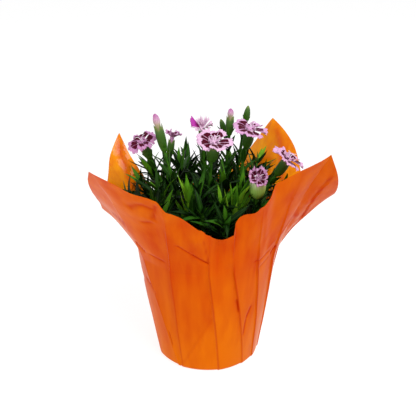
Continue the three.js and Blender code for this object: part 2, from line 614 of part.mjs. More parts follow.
// Sets each stem's leaf pairs where they pass everything else.
function dressed(stems, fixed) {
  const solids = stems.map((stem) => stem.bare);
  return stems.map((stem, i) => {
    const others = [...fixed, ...solids.filter((_, j) => j !== i)];
    const leaves = [];
    for (let pair = 0; pair < stem.pairs.length; pair++) {
      const placed = placedPair(stem, pair, others, leaves);
      if (placed) leaves.push(placed);
    }
    solids[i] = wholeOf(unionOf([stem.bare, ...leaves]));
    return { ...stem, solid: solids[i] };
  });
}

// The whole plant in its pot and cover

const LOOKS = {
  cover: new THREE.MeshStandardMaterial({ color: 0xe0610f, roughness: 0.45, metalness: 0 }),
  pot: new THREE.MeshStandardMaterial({ color: 0x2b2725, roughness: 0.6, metalness: 0 }),
  soil: new THREE.MeshStandardMaterial({ color: 0x1d1611, roughness: 1, metalness: 0 }),
  leaf: new THREE.MeshStandardMaterial({ color: 0x28502a, roughness: 0.6, metalness: 0 }),
  stem: new THREE.MeshStandardMaterial({ color: 0x45702c, roughness: 0.55, metalness: 0 }),
  petal: new THREE.MeshStandardMaterial({ color: 0xdfa6d3, roughness: 0.7, metalness: 0 }),
};

const plant = new THREE.Group();

function add(name, look, geometry) {
  const mesh = new THREE.Mesh(geometry, LOOKS[look].clone());
  mesh.name = name;
  plant.add(mesh);
}

const coverSheet = makeCover();
const potSolid = makePot();
const bareSoil = makeSoil();
const flowers = makeFlowers();
const petals = flowers.petals.map((piece) => piece.solid);
const shoots = makeShoots([...petals, ...flowers.stems.map((stem) => stem.bare)]);
const stems = dressed([...flowers.stems, ...shoots], [solidOf(coverSheet), potSolid, bareSoil, ...petals]);

// Each stem stands in a plain hole in the soil, drilled along the stem's first stretch.
const holes = stems.map(({ curve, make }) => {
  const foot = curve.getPoint(0);
  const way = curve.getPointAt(1 / make.steps).sub(foot).normalize();
  const r = make.r + HOLE.play;
  const drill = new THREE.CylinderGeometry(r, r, HOLE.deep, HOLE.sides).rotateX(Math.PI / 2);
  return solidOf(stand(drill.translate(0, 0, HOLE.deep / 2 - HOLE.below), foot, way));
});

add("pot_cover", "cover", coverSheet);
add("nursery_pot", "pot", geometryOf(potSolid));
add("soil", "soil", geometryOf(wholeOf(bareSoil.subtract(unionOf(holes)))));
for (const { name, look, solid } of [...flowers.petals, ...stems]) add(name, look, geometryOf(solid));

export default plant;
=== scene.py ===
from math import atan2, cos, degrees, exp, hypot, inf, pi, radians, sin, sqrt, tau
from random import random, seed as seedRandom, uniform

import bpy
import numpy as np
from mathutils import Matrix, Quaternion, Vector, noise


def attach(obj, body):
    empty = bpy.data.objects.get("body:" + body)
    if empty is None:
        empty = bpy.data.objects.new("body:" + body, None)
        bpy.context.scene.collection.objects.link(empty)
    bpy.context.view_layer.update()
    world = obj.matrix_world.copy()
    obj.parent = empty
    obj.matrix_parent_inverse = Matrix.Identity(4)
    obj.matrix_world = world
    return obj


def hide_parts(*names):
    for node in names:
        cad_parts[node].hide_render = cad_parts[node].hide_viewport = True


# A flowering dianthus in its nursery pot, dressed in a pleated film cover with four tall corners.
# Sizes are millimetres in the values below and become metres where a mesh is placed.
# Azimuths are degrees from +X towards +Y, counted on past a turn; -Y is the front.

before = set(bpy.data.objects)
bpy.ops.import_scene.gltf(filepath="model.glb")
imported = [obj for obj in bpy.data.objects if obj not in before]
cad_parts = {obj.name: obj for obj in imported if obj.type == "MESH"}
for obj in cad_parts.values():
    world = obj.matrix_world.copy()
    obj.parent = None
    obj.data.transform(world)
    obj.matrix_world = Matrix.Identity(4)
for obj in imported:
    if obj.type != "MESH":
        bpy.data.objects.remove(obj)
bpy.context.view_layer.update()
mm = 0.001
tiny = 0.01  # the radius that stands for a closed pole
up = Vector((0, 0, 1))
seedRandom(7)
print("frame loaded")


# working helpers

def leaveEdit():
    bpy.ops.object.mode_set(mode="OBJECT")


def pick(*objs):
    if bpy.context.mode != "OBJECT":
        leaveEdit()
    bpy.ops.object.select_all(action="DESELECT")
    for obj in objs:
        obj.select_set(True)
    bpy.context.view_layer.objects.active = objs[0]


def editAll(obj):
    pick(obj)
    bpy.ops.object.mode_set(mode="EDIT")
    bpy.ops.mesh.select_all(action="SELECT")


def closeSeams(obj, gap=0.01):
    editAll(obj)
    bpy.ops.mesh.remove_doubles(threshold=gap * mm)
    bpy.ops.mesh.normals_make_consistent(inside=False)
    leaveEdit()


def applyModifier(obj, kind, **settings):
    pick(obj)
    modifier = obj.modifiers.new(kind.title(), kind)
    for name, value in settings.items():
        setattr(modifier, name, value)
    bpy.ops.object.modifier_apply(modifier=modifier.name)


def spots(obj):  # vertex places in millimetres
    places = np.empty(len(obj.data.vertices) * 3)
    obj.data.vertices.foreach_get("co", places)
    return places.reshape(-1, 3) / mm


def setSpots(obj, places):
    obj.data.vertices.foreach_set("co", (np.asarray(places) * mm).ravel())
    obj.data.update()


def moved(obj, place):  # every vertex goes where place(x, y, z) says
    setSpots(obj, [place(*spot) for spot in spots(obj)])
    return obj


def stand(obj, at, way):  # turns a shape made along +Z to point a given way, and sets it at a point
    turn = up.rotation_difference(way)
    return moved(obj, lambda x, y, z: Vector(at) + turn @ Vector((x, y, z)))


def copyOf(template, name):
    obj = template.copy()
    obj.data = template.data.copy()
    obj.name = name
    bpy.context.collection.objects.link(obj)
    return obj


def joined(name, parts):
    pick(*parts)
    if len(parts) > 1:
        bpy.ops.object.join()
    parts[0].name = parts[0].data.name = name
    return parts[0]


def setAttribute(obj, name, values):
    obj.data.attributes.new(name, "FLOAT", "POINT").data.foreach_set("value", values)


def wear(obj, *looks):
    for look in looks:
        obj.data.materials.append(look)
    return obj


def dressed(obj, tone, *looks):  # with one shade value for a whole leaf or petal, read by its materials
    setAttribute(obj, "tone", [tone] * len(obj.data.vertices))
    return wear(obj, *looks)


def smooth(obj, angle):
    pick(obj)
    bpy.ops.object.shade_smooth_by_angle(angle=radians(angle))


def finished(obj, node):
    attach(obj, "root")
    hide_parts(node)


def removeAll(*objs):
    for obj in objs:
        bpy.data.objects.remove(obj)


def mix(a, b, share):
    return a + (b - a) * share


def clamped(value):
    return min(max(value, 0), 1)


def polar(azimuth, r, z):
    a = radians(azimuth)
    return Vector((r * cos(a), r * sin(a), z))


def drawMap(obj, mapped):  # the piece's own map, from mapped(x, y, z)
    drawn = obj.data.uv_layers.new(name="blade")
    places = spots(obj)
    for loop in obj.data.loops:
        drawn.data[loop.index].uv = mapped(*places[loop.vertex_index])


def turnedShape(name, profile, sides, gap=0.001, shape=None, mapped=True, angle=50):
    # a circle extruded from ring to ring up a profile of (radius, height), where a radius of 0 closes it
    r, z = profile[0]
    bpy.ops.mesh.primitive_circle_add(vertices=sides, radius=max(r, tiny) * mm, location=(0, 0, z * mm))
    obj = bpy.context.object
    obj.name = name
    bpy.ops.object.transform_apply(location=True)
    editAll(obj)
    if r == 0:
        bpy.ops.mesh.edge_face_add()
    for nextR, nextZ in profile[1:]:
        scale = max(nextR, tiny) / max(r, tiny)
        bpy.ops.mesh.extrude_region_move(TRANSFORM_OT_translate={"value": (0, 0, (nextZ - z) * mm)})
        bpy.ops.transform.resize(value=(scale, scale, 1), center_override=(0, 0, nextZ * mm))
        r, z = nextR, nextZ
    if r == 0:
        bpy.ops.mesh.merge(type="CENTER")
    leaveEdit()
    closeSeams(obj, gap)
    if mapped:
        drawMap(obj, lambda x, y, z: (atan2(y, x) / tau % 1, z))
    if shape:
        moved(obj, shape)
    smooth(obj, angle)
    return obj


# materials

class Value:  # a node's output to reckon with: every sign or step adds a node
    def __init__(self, socket):
        self.socket = socket
        self.tree = socket.id_data

    def math(self, operation, b=0.0, clamp=False):
        return mathNode(self.tree, operation, self, b, clamp)

    def __add__(self, b):
        return self.math("ADD", b)

    def __sub__(self, b):
        return self.math("SUBTRACT", b)

    def __rsub__(self, a):
        return mathNode(self.tree, "SUBTRACT", a, self)

    def __mul__(self, b):
        return self.math("MULTIPLY", b)

    def __pow__(self, b):
        return self.math("POWER", b)

    def ripple(self, rate):  # waves from 0 to 1
        return (self * rate).math("SINE") * 0.5 + 0.5

    def towards(self, factor, colour):
        settings = {"data_type": "RGBA", "blend_type": "MIX"}
        return Value(newNode(self.tree, "ShaderNodeMix", {0: factor, 6: self, 7: colour}, **settings).outputs[2])


def feed(socket, value):
    if isinstance(value, Value):
        value.tree.links.new(value.socket, socket)
    else:
        socket.default_value = value


def newNode(tree, kind, inputs=None, **settings):
    node = tree.nodes.new(kind)
    for name, value in settings.items():
        setattr(node, name, value)
    for name, value in (inputs or {}).items():
        feed(node.inputs[name], value)
    return node


def addNode(tree, kind, inputs=None, **settings):  # its outputs by name
    return {socket.name: Value(socket) for socket in newNode(tree, kind, inputs, **settings).outputs}


def mathNode(tree, operation, a, b, clamp=False):
    return addNode(tree, "ShaderNodeMath", {0: a, 1: b}, operation=operation, use_clamp=clamp)["Value"]


def paint(*levels):  # a colour as a screen shows it, 0 to 255, as Blender's linear values
    shares = [level / 255 for level in levels]
    return (*[s / 12.92 if s < 0.04045 else ((s + 0.055) / 1.055) ** 2.4 for s in shares], 1)


def ramp(tree, factor, *stops):
    node = newNode(tree, "ShaderNodeValToRGB", {"Fac": factor})
    line = node.color_ramp.elements
    while len(line) < len(stops):
        line.new(0.5)
    for element, (at, colour) in zip(line, stops):
        element.position = at
        element.color = colour
    return Value(node.outputs["Color"])


def paintRamp(tree, factor, *stops):  # each stop is (at, red, green, blue)
    return ramp(tree, factor, *((at, paint(*colour)) for at, *colour in stops))


def newMaterial(name, **values):
    material = bpy.data.materials.new(name)
    material.use_nodes = True
    for socket, value in values.items():
        material.node_tree.nodes["Principled BSDF"].inputs[socket.replace("_", " ")].default_value = value
    return material, material.node_tree


def coloured(material, colour, height=None, strength=0.0, distance=0.0):
    shader = material.node_tree.nodes["Principled BSDF"]
    feed(shader.inputs["Base Color"], colour)
    if height:
        bumpValues = {"Height": height, "Strength": strength, "Distance": distance}
        feed(shader.inputs["Normal"], addNode(material.node_tree, "ShaderNodeBump", bumpValues)["Normal"])
    return material


def newGroup(name, outputs, **inputs):  # a node group whose named sockets all carry numbers
    group = bpy.data.node_groups.new(name, "ShaderNodeTree")
    for label, value in inputs.items():
        socket = group.interface.new_socket(label, in_out="INPUT", socket_type="NodeSocketFloat")
        socket.default_value = value
    for label in outputs:
        group.interface.new_socket(label, in_out="OUTPUT", socket_type="NodeSocketFloat")
    return group, addNode(group, "NodeGroupInput")


def closeGroup(group, **results):
    newNode(group, "NodeGroupOutput", results)
    return group


def place(tree, group, **inputs):
    return addNode(tree, "ShaderNodeGroup", inputs, node_tree=group)


def objectSpots(tree):
    return addNode(tree, "ShaderNodeTexCoord")["Object"]


def objectNoise(tree, scale, detail=2.0, where=None):
    return addNode(tree, "ShaderNodeTexNoise", {
        "Vector": where or objectSpots(tree), "Scale": scale, "Detail": detail,
    })["Fac"]


def attributeOf(tree, name):
    return addNode(tree, "ShaderNodeAttribute", attribute_name=name)["Fac"]


# the pot cover: one sheet of coated film, pleated to the pot below its rim and flared above it

cover = {
    "baseR": 48.5, "rimR": 66, "rimZ": 108.5,  # where it is tight to the pot
    "hem": 2, "step": 1.8, "flat": 0.6, "flare": 0.3, "film": 0.35, "skirtTall": 90,
    "pleatColumns": 20, "pleatShare": 0.96, "floorRows": 5, "wallRows": 56, "skirtRows": 74,
    "footShare": 0.45, "gather": 0.5, "gathers": 28,
}
crumple = {  # the sheet's own unevenness: sizes of its noise, and its heights on the wall and on the loose skirt
    "softSize": 0.035, "crispSize": 0.022, "soft": (0.25, 1.35), "crisp": (0.16, 0.46), "looseFrom": 0.9,
}
foldShading = {  # painted shade along folds and pleat lines: how dark the film is painted there, and how far that reaches
    "fine": 0.95, "broad": 0.55, "broadWidth": (2, 4), "share": 0.8,
    "step": 0.25, "deepStep": 0.7, "stepReach": 1.1, "stepSoft": 0.8, "pleat": 0.5, "pleatReach": 0.5,
}
pleats = [  # fold lines of the wall: azimuth at the pot's rim, azimuth at the base
    (209, 236), (240, 240), (271, 282), (290, 312), (312, 330), (333, 352), (358, 376),
    (382, 400), (408, 424), (435, 448), (462, 474), (488, 500), (514, 528), (541, 563), (569, 596),
]
edgeRuns = [  # the cut edge: azimuth at the rim below, its own azimuth, radius and height
    [  # front, left of the notch
        (207, 223, 125, 210), (215, 229, 118, 202), (224, 235.5, 108, 193), (232, 242, 97, 187),
        (240, 247, 91, 177), (250, 254, 83, 168), (262, 264, 80, 157), (277, 276, 68, 144.5),
        (284, 282, 72, 147), (290, 287.5, 75, 150),
    ],
    [  # front, right of the notch
        (290, 288, 74, 160), (294, 291.5, 77, 167), (304, 298, 82, 170), (314, 304, 84, 176),
        (322, 311, 86, 191), (330, 318, 96, 200), (343, 329, 115, 215),
    ],
    [  # right
        (343, 329, 115, 215), (348, 335, 117, 197), (356, 345, 115, 176), (362, 352, 112, 163),
        (374, 370, 100, 148), (384, 383, 101, 150), (392, 391, 106, 160), (398, 398, 109, 180),
        (404, 405, 110, 193), (410, 415, 114, 204),
    ],
    [  # back
        (410, 415, 114, 204), (415, 419, 110, 191), (420, 425, 105, 173), (427, 431, 99, 157),
        (440, 441, 92, 148), (462, 463, 90, 135), (478, 478, 97, 128), (488, 487, 107, 134),
        (494, 493, 111, 160), (499, 499, 117, 193),
    ],
    [  # left
        (499, 499, 117, 193), (506, 508, 112, 177), (514, 517, 104, 164), (524, 525, 99, 154),
        (536, 536, 96, 148), (548, 549, 96, 152), (558, 559, 101, 166), (563, 571, 113, 188),
        (567, 583, 125, 210),
    ],
]
edgeNicks = [  # where the cut edge rises or dips: azimuth at the rim, width in degrees, rise
    (236.5, 2.6, 2.3), (242, 2, -0.9), (265.5, 1.8, 1.5), (271, 1.5, 0.8), (283, 5, -1.5), (291.5, 1.2, 1.3),
    (309, 2.6, 1.6), (317.7, 1.6, -2), (321.5, 1.6, 1.7), (370, 3, 1.5), (388, 3, -1.6), (436, 4, 1.6),
    (452, 3, -1.4), (470, 3, 1.4), (520, 3, 1.6), (545, 3, -1.5),
]

# Folds pressed into the sheet: the azimuth at the rim and the row of its start and of its end, depth, width.
# A groove sinks on both sides of its line; a step only to the right of the way from its start to its end.
# Each fold is also painted with shade along its line.
grooves = [
    (246.5, 1.48, 257, 1.42, 0.9, 1.3), (257, 1.42, 270.5, 1.29, 1.5, 1.5), (219.5, 1.13, 235, 1.1, 0.8, 1.2),
    (195, 0.78, 211, 0.7, 1.1, 1.9), (213.5, 0.36, 212.5, 0.22, 0.9, 1.2), (308, 1.11, 326, 1.14, 0.7, 1.4),
    (312, 1.0, 326, 1.06, 0.5, 1.4), (305, 0.62, 297.5, 0.51, 1.0, 1.5), (297.5, 0.51, 292, 0.34, 0.8, 1.5),
    (289, 0.74, 289.5, 0.6, 0.9, 1.1), (200, 1.7, 209, 1.23, 0.9, 1.3), (209, 1.23, 216, 1.12, 1.3, 1.3),
    (235, 1.95, 231.5, 1.7, 1.9, 2.2), (220, 1.76, 227, 1.88, 1.1, 3.2), (227, 1.88, 233, 1.84, 1.1, 2.8),
    (224, 1.6, 231, 1.65, 0.9, 2.2), (349, 1.46, 333, 1.26, -0.8, 2.5), (333, 1.26, 322.5, 1.19, -0.6, 2.2),
    (334, 1.15, 328, 1.07, 1.4, 1.5), (266, 1.85, 270.5, 1.3, 0.45, 0.9), (394, 1.3, 420, 1.62, 0.9, 2.4),
    (402, 1.75, 428, 1.35, 0.7, 2.6), (499, 1.95, 507, 1.35, -1.1, 2.6), (486, 1.3, 500, 1.66, 0.9, 2.2),
    (490, 1.5, 513, 1.62, 2.4, 3.4), (504, 1.9, 498, 1.25, 2.2, 2.8), (488, 1.8, 498, 1.42, 1.6, 2.4),
    (520, 1.2, 540, 1.7, 0.8, 2.4), (452, 1.1, 474, 1.5, 0.9, 2.2), (372, 1.15, 366, 1.6, 0.8, 2.2),
    (425, 0.9, 436, 0.7, 0.8, 2.2), (480, 0.75, 472, 0.55, 0.9, 2.2), (530, 0.85, 543, 0.7, 0.9, 2.2),
    (500, 2.02, 513, 1.25, 0.8, 4), (408, 1.97, 396, 1.62, 0.8, 5.5),
]
steps = [
    (270, 0.58, 256.5, 0.34, 0.7, 9), (256.5, 0.34, 240.5, 0.03, 0.7, 9), (314, 2.0, 316.5, 1.32, 0.5, 9),
    (347.5, 1.97, 351, 1.62, 1.6, 12), (351, 1.62, 357.5, 1.5, 1.4, 12), (289.5, 2.0, 289.5, 1.2, -0.8, 7),
]


def through(rows, x, column):  # a smooth value through the rows of a table, where column 0 is x
    i = 0
    while i < len(rows) - 2 and rows[i + 1][0] < x:
        i += 1
    a, b = rows[i], rows[i + 1]
    before, after = rows[max(i - 1, 0)], rows[min(i + 2, len(rows) - 1)]
    span = b[0] - a[0]
    t = clamped((x - a[0]) / span)
    into = (b[column] - before[column]) / (b[0] - before[0]) * span
    out = (after[column] - a[column]) / (after[0] - a[0]) * span
    return (
        (2 * t**3 - 3 * t**2 + 1) * a[column] + (t**3 - 2 * t**2 + t) * into
        + (3 * t**2 - 2 * t**3) * b[column] + (t**3 - t**2) * out
    )


def coverEdge(rimAzimuth):  # the cut edge's azimuth, radius and height
    first = edgeRuns[0][0][0]
    x = first + (rimAzimuth - first) % 360
    run = next((rows for rows in edgeRuns if x < rows[-1][0]), edgeRuns[-1])
    return [through(run, x, column) for column in (1, 2, 3)]


def coverColumns():  # azimuths at the rim and base and radii there, for each column of the sheet
    corners = [run[-1][0] for run in edgeRuns[1:]]
    columns = []
    for (rimA, baseA), (rimB, baseB) in zip(pleats, pleats[1:]):
        half = radians((rimB - rimA) / 2)
        near = [(corner - rimA) / (rimB - rimA) for corner in corners]
        for i in range(cover["pleatColumns"]):
            q = i / (cover["pleatColumns"] - 1) * cover["pleatShare"]
            q = next((at for at in near if 0.05 < at < 0.95 and abs(at - q) < 0.025), q)  # a column at each corner
            sag = cover["flat"] * (cos(half) / cos((2 * q - 1) * half) - 1)
            drop = cover["step"] * q
            columns.append((
                mix(rimA, rimB, q), mix(baseA, baseB, q), cover["rimR"] * (1 + sag) - drop,
                cover["baseR"] * (1 + sag * cover["footShare"]) - drop * cover["footShare"],
            ))
    rimAz, baseAz, rimR, baseR = columns[0]
    return columns + [(rimAz + 360, baseAz + 360, rimR, baseR)]


def sheetPoint(column, row):  # row 0 to 1 is the wall, below 0 the underside and above 1 the skirt
    rimAz, baseAz, rimR, baseR = column
    if row < 0:
        fold = cover["gather"] * (0.5 + 0.5 * sin(radians(rimAz) * cover["gathers"])) * sin(-row * pi)
        return polar(baseAz, (baseR - cover["hem"]) * (1 + row), fold)
    if row <= 1:
        tuck = cover["hem"] * max(0, 1 - row * 40) ** 2
        return polar(mix(baseAz, rimAz, row), mix(baseR, rimR, row) - tuck, row * cover["rimZ"])
    share = row - 1
    azimuth, r, z = coverEdge(rimAz)
    z += sum(rise * exp(-((rimAz - at) / wide) ** 2) for at, wide, rise in edgeNicks) * share**3
    flared = share * (1 + cover["flare"] * (share - 1))
    turned = rimAz + ((azimuth - rimAz + 180) % 360 - 180) * share
    return polar(turned, mix(rimR, r, flared), mix(cover["rimZ"], z, share))


def fallOff(away, reach):
    return np.exp(-((away / reach) ** 2))


def foldsOf(columns, rimAz, height):  # how far folds push each vertex out, and how dark the painted shade along folds and pleat lines is there
    push = foldShade = np.zeros((len(height), rimAz.shape[1]))
    marks = foldShading
    for i, (azA, rowA, azB, rowB, depth, width) in enumerate(grooves + steps):
        isStep = i >= len(grooves)
        middle = sheetPoint(columns[int(np.abs(rimAz[0] - (azA + azB) / 2).argmin())], (rowA + rowB) / 2)
        perDegree = radians(1) * hypot(middle[0], middle[1])
        perRow = cover["rimZ"] if rowA + rowB < 2 else cover["skirtTall"]
        if isStep:
            dark, reach = marks["step"] if abs(depth) < 1 else marks["deepStep"], marks["stepReach"]
        else:
            low, high = marks["broadWidth"]
            dark, reach = marks["broad"] if low <= width < high else marks["fine"], marks["share"] * width
        dx, dy = (azB - azA) * perDegree, (rowB - rowA) * perRow
        for turn in (0, 360):
            x, y = (rimAz - azA - turn) * perDegree, (height - rowA) * perRow
            t = (x * dx + y * dy) / (dx * dx + dy * dy)
            off = (x * dy - y * dx) / hypot(dx, dy)
            ends = np.clip(np.minimum(t, 1 - t) * 6 + 0.4, 0, 1)
            sunk = ends * np.exp(-np.abs(off) / width)
            if isStep:
                sunk *= np.clip(off / marks["stepSoft"] + 0.5, 0, 1)
            push = push - depth * sunk
            foldShade = np.maximum(foldShade, ends * min(abs(depth), 1) * dark * fallOff(off, reach))
    apart = np.array([min(abs(az - pleat[0]) for pleat in pleats) for az in rimAz[0]])[None, :]
    fading = np.clip(2.6 - 1.7 * height, 0.2, 1)  # the painted shade of the pleat lines fades as the pleats open out up the skirt
    return push, np.maximum(foldShade, marks["pleat"] * fallOff(apart, marks["pleatReach"]) * fading)


def makeCover():
    columns = coverColumns()
    runs = (cover["floorRows"], cover["wallRows"], cover["skirtRows"])
    rows = [first + i / run for first, run in zip((-1, 0, 1), runs) for i in range(run)] + [2]
    bpy.ops.mesh.primitive_grid_add(x_subdivisions=len(columns) - 1, y_subdivisions=len(rows) - 1, size=2)
    sheet = bpy.context.object
    sheet.name = "cover_sheet"
    grid = np.array([[sheetPoint(column, row) for column in columns] for row in rows])  # in the vertices' order

    # which way the sheet faces at each vertex
    eastward = np.roll(grid[:, :-1], -1, 1) - np.roll(grid[:, :-1], 1, 1)
    eastward = np.concatenate([eastward, eastward[:, :1]], 1)
    facing = np.cross(eastward, np.gradient(grid, axis=0))
    facing /= np.linalg.norm(facing, axis=2, keepdims=True) + 1e-9

    height = np.array(rows)[:, None]
    push, foldShade = foldsOf(columns, np.array([c[0] for c in columns])[None, :], height)
    for r, row in enumerate(rows):
        loose = clamped(row - crumple["looseFrom"])
        for c in range(len(columns) - 1):
            spot = Vector(grid[r, c])
            soft = noise.noise(spot * crumple["softSize"] + Vector((5, 1, 2)))
            crisp = noise.ridged_multi_fractal(spot * crumple["crispSize"], 0.9, 2.1, 4, 1.0, 2.0)
            push[r, c] += mix(*crumple["soft"], loose) * soft + mix(*crumple["crisp"], loose) * (crisp - 1)
    push *= np.clip(height * 14, 0, 1)  # the foot stays flat
    grid = grid + facing * push[:, :, None]
    grid[:, -1] = grid[:, 0]
    grid[:, :, 2] = np.maximum(grid[:, :, 2], 0)
    setSpots(sheet, grid)
    # painted shade along folds and pleat lines, read by the film's colour
    setAttribute(sheet, "fold", foldShade.ravel())
    closeSeams(sheet)
    front = min(sheet.data.polygons, key=lambda face: (face.center - Vector((0, -0.06, 0.05))).length)
    if front.normal.y > 0:
        editAll(sheet)
        bpy.ops.mesh.flip_normals()
        leaveEdit()
    wear(sheet, *(filmLook(f"cover{side.title()}", finish) for side, finish in filmFinish.items()))
    applyModifier(
        sheet, "SOLIDIFY", thickness=cover["film"] * mm, offset=-1, material_offset=1, material_offset_rim=0,
    )
    smooth(sheet, 24)
    finished(sheet, "pot_cover")


filmFinish = {  # its colours where painted lit and painted deep, and painted shade in folds; fade paints light on towards the foot
    "outside": {
        "lit": (220, 106, 0), "deep": (200, 68, 0), "fold": (180, 24, 0),
        "roughness": 0.32, "gloss": 0.03, "crease": 0.2, "fade": 1.4, "sheen": 0.42,
    },
    # the film's own amber inside, painted brighter as if lit through the film
    "inside": {
        "lit": (252, 166, 0), "deep": (222, 100, 0), "fold": (206, 62, 0),
        "roughness": 0.16, "gloss": 0.2, "crease": 0.8, "fade": 0, "sheen": 0.2,
    },
}


def makeWrinkleGroup():  # fine creasing of thin coated film: its height, and a cloud of upright streaks used for painted light and shade
    group, given = newGroup("filmWrinkle", ["Height", "Cloud"], Scale=30.0, Crumple=0.5)
    where = objectSpots(group)
    broad = objectNoise(group, given["Scale"], 3, where)
    drawn = addNode(group, "ShaderNodeVectorMath", {0: where, 1: (1, 1, 0.16)}, operation="MULTIPLY")["Vector"]
    cells = {"Vector": where, "Scale": given["Scale"] * 3}
    cells = addNode(group, "ShaderNodeTexVoronoi", cells, feature="DISTANCE_TO_EDGE")["Distance"]
    ridge = mathNode(group, "SUBTRACT", 1, cells * 6, True) ** 3
    cloud = (broad + objectNoise(group, 95, 3, drawn)) * 0.5
    return closeGroup(group, Height=broad + ridge * given["Crumple"] * 0.2, Cloud=cloud)


def filmLook(name, side):
    material, tree = newMaterial(
        name, Roughness=side["roughness"], Specular_IOR_Level=side["gloss"], Sheen_Weight=side["sheen"],
        Sheen_Roughness=0.18, Sheen_Tint=paint(255, 226, 214),
    )
    wrinkle = place(tree, wrinkleGroup, Scale=11.0, Crumple=0.35)
    # painted light and shade: the streak cloud moves the colour between deep and lit, and it is painted lighter
    # towards the foot
    high = addNode(tree, "ShaderNodeSeparateXYZ", {"Vector": objectSpots(tree)})["Z"]
    lower = (0.085 - high) * side["fade"]
    shade = wrinkle["Cloud"] + lower.math("MAXIMUM", -0.04)
    colour = paintRamp(tree, shade, (0.34, *side["deep"]), (0.66, *side["lit"]))
    # painted shade along folds: the colour goes towards the fold paint
    colour = colour.towards(attributeOf(tree, "fold"), paint(*side["fold"]))
    return coloured(material, colour, wrinkle["Height"], side["crease"], 0.002)


wrinkleGroup = makeWrinkleGroup()
makeCover()
print("cover: pleated, flared and creased")


# finishes of leaves, stems and petals

def bladeUv(tree):  # across and along a blade or petal, from its own map
    where = addNode(tree, "ShaderNodeUVMap", uv_map="blade")["UV"]
    apart = addNode(tree, "ShaderNodeSeparateXYZ", {"Vector": where})
    return apart["X"], apart["Y"]


def makeVeinGroup():  # a midrib and parallel veins across a blade
    group, given = newGroup("leafVeins", ["Midrib", "Veins"], Across=0.5, Count=12.0)
    off = (given["Across"] - 0.5).math("ABSOLUTE")
    midrib = mathNode(group, "SUBTRACT", 1, off * 11, True)
    return closeGroup(group, Midrib=midrib, Veins=off.ripple(given["Count"] * 6.283))


def leafLook():
    material, tree = newMaterial("foliage", Roughness=0.42, Specular_IOR_Level=0.09)
    vein = place(tree, veinGroup, Across=bladeUv(tree)[0], Count=6.0)
    shade = attributeOf(tree, "tone") + (objectNoise(tree, 90) - 0.5) * 0.35
    colour = paintRamp(
        tree, shade, (0, 1, 8, 1), (0.25, 16, 45, 6), (0.5, 42, 90, 14), (0.75, 84, 144, 22), (1, 136, 190, 46),
    )
    colour = colour.towards(vein["Midrib"] * 0.22, paint(104, 152, 78))
    colour = colour.towards(vein["Veins"] * 0.12, paint(8, 26, 14))
    return coloured(material, colour, vein["Veins"], 0.25, 0.0004)


def speckled(name, scale, dark, light, grain=None, **values):  # wavers between two paints, with a fine grain
    material, tree = newMaterial(name, **values)
    colour = paintRamp(tree, objectNoise(tree, scale), (0.3, *dark), (0.7, *light))
    return coloured(material, colour, grain and objectNoise(tree, grain), 0.08, 0.0003)


def calyxLook():
    material, tree = newMaterial("calyxGreen", Roughness=0.45, Specular_IOR_Level=0.1)
    around, high = bladeUv(tree)
    stripe = around.ripple(188.5)
    green = paintRamp(tree, high, (0, 48, 100, 14), (0.4, 26, 68, 10), (0.8, 38, 86, 14), (1, 120, 138, 54))
    # pale calyx green: its own pallor, painted lighter to make up for the shade it sits in
    pale = paintRamp(tree, high, (0, 124, 178, 60), (0.6, 156, 200, 96), (1, 220, 228, 184))
    colour = green.towards(attributeOf(tree, "tone"), pale).towards(stripe * 0.22, paint(20, 56, 24))
    return coloured(material, colour, stripe, 0.2, 0.0004)


def makePetalGroup():  # the maroon eye, broken by pale lines, and the streaks that run out to the rim
    inputs = {"Across": 0.5, "Out": 0.5, "Inner": 0.34, "Outer": 0.7}
    group, given = newGroup("petalMarkings", ["Eye", "Streaks", "Throat"], **inputs)
    off = (given["Across"] - 0.5).math("ABSOLUTE") * 2
    rough = objectNoise(group, 700)
    level = given["Out"] + (rough - 0.5) * 0.16 + off**2 * 0.12

    def past(value, edge):  # 0 before an edge and 1 after it
        return (value - edge).math("DIVIDE", 0.05).math("ADD", 0.5, True)

    begun = past(level, given["Inner"])
    eye = begun * (1 - past(level, given["Outer"])) * (past(off, 0.04) * (1 - past(off, 0.95)))
    return closeGroup(group, Eye=eye, Streaks=given["Across"].ripple(57) * rough, Throat=1 - begun)


def petalLook(name, face, eye):  # the upper face has a pale throat and the eye; the back shows the eye faintly
    material, tree = newMaterial(name, Roughness=0.7, Specular_IOR_Level=0.08, Sheen_Weight=0.04)
    across, reach = bladeUv(tree)
    marks = place(tree, petalGroup, Across=across, Out=reach, Inner=0.28, Outer=0.74)
    tone = attributeOf(tree, "tone")
    # tone is the bloom's dusk: partly its own mauve, partly painted shade
    colour = paintRamp(tree, tone, (0, 232, 204, 224), (0.5, 212, 158, 202), (1, 166, 108, 152))
    colour = colour.towards(marks["Streaks"] * (0.5 if face else 0.35), paint(196, 122, 178))
    if face:
        colour = colour.towards(marks["Throat"], paint(232, 208, 222))
    colour = colour.towards(marks["Eye"] * eye, paint(76, 0, 28) if face else paint(140, 70, 110))
    return coloured(material, colour, marks["Streaks"], 0.2, 0.0005)


def brightLook():
    material, tree = newMaterial("petalBright", Roughness=0.6, Specular_IOR_Level=0.25)
    across, reach = bladeUv(tree)
    marks = place(tree, petalGroup, Across=across, Out=reach, Inner=0.0, Outer=0.45)
    colour = paintRamp(tree, reach, (0, 120, 20, 70), (0.45, 136, 20, 106), (0.6, 176, 46, 158), (1, 186, 66, 170))
    return coloured(material, colour.towards(marks["Streaks"] * 0.4, paint(160, 40, 140)))


def furledLook():
    material, tree = newMaterial("furledPink", Roughness=0.6, Specular_IOR_Level=0.25)
    around, high = bladeUv(tree)
    stops = (0, 178, 176, 126), (0.2, 198, 178, 172), (0.6, 200, 152, 186), (1, 168, 86, 150)
    colour = paintRamp(tree, high, *stops).towards(around.ripple(75.4) * 0.35, paint(196, 130, 168))
    return coloured(material, colour)


veinGroup = makeVeinGroup()
petalGroup = makePetalGroup()


# the nursery pot and its soil, inside the cover

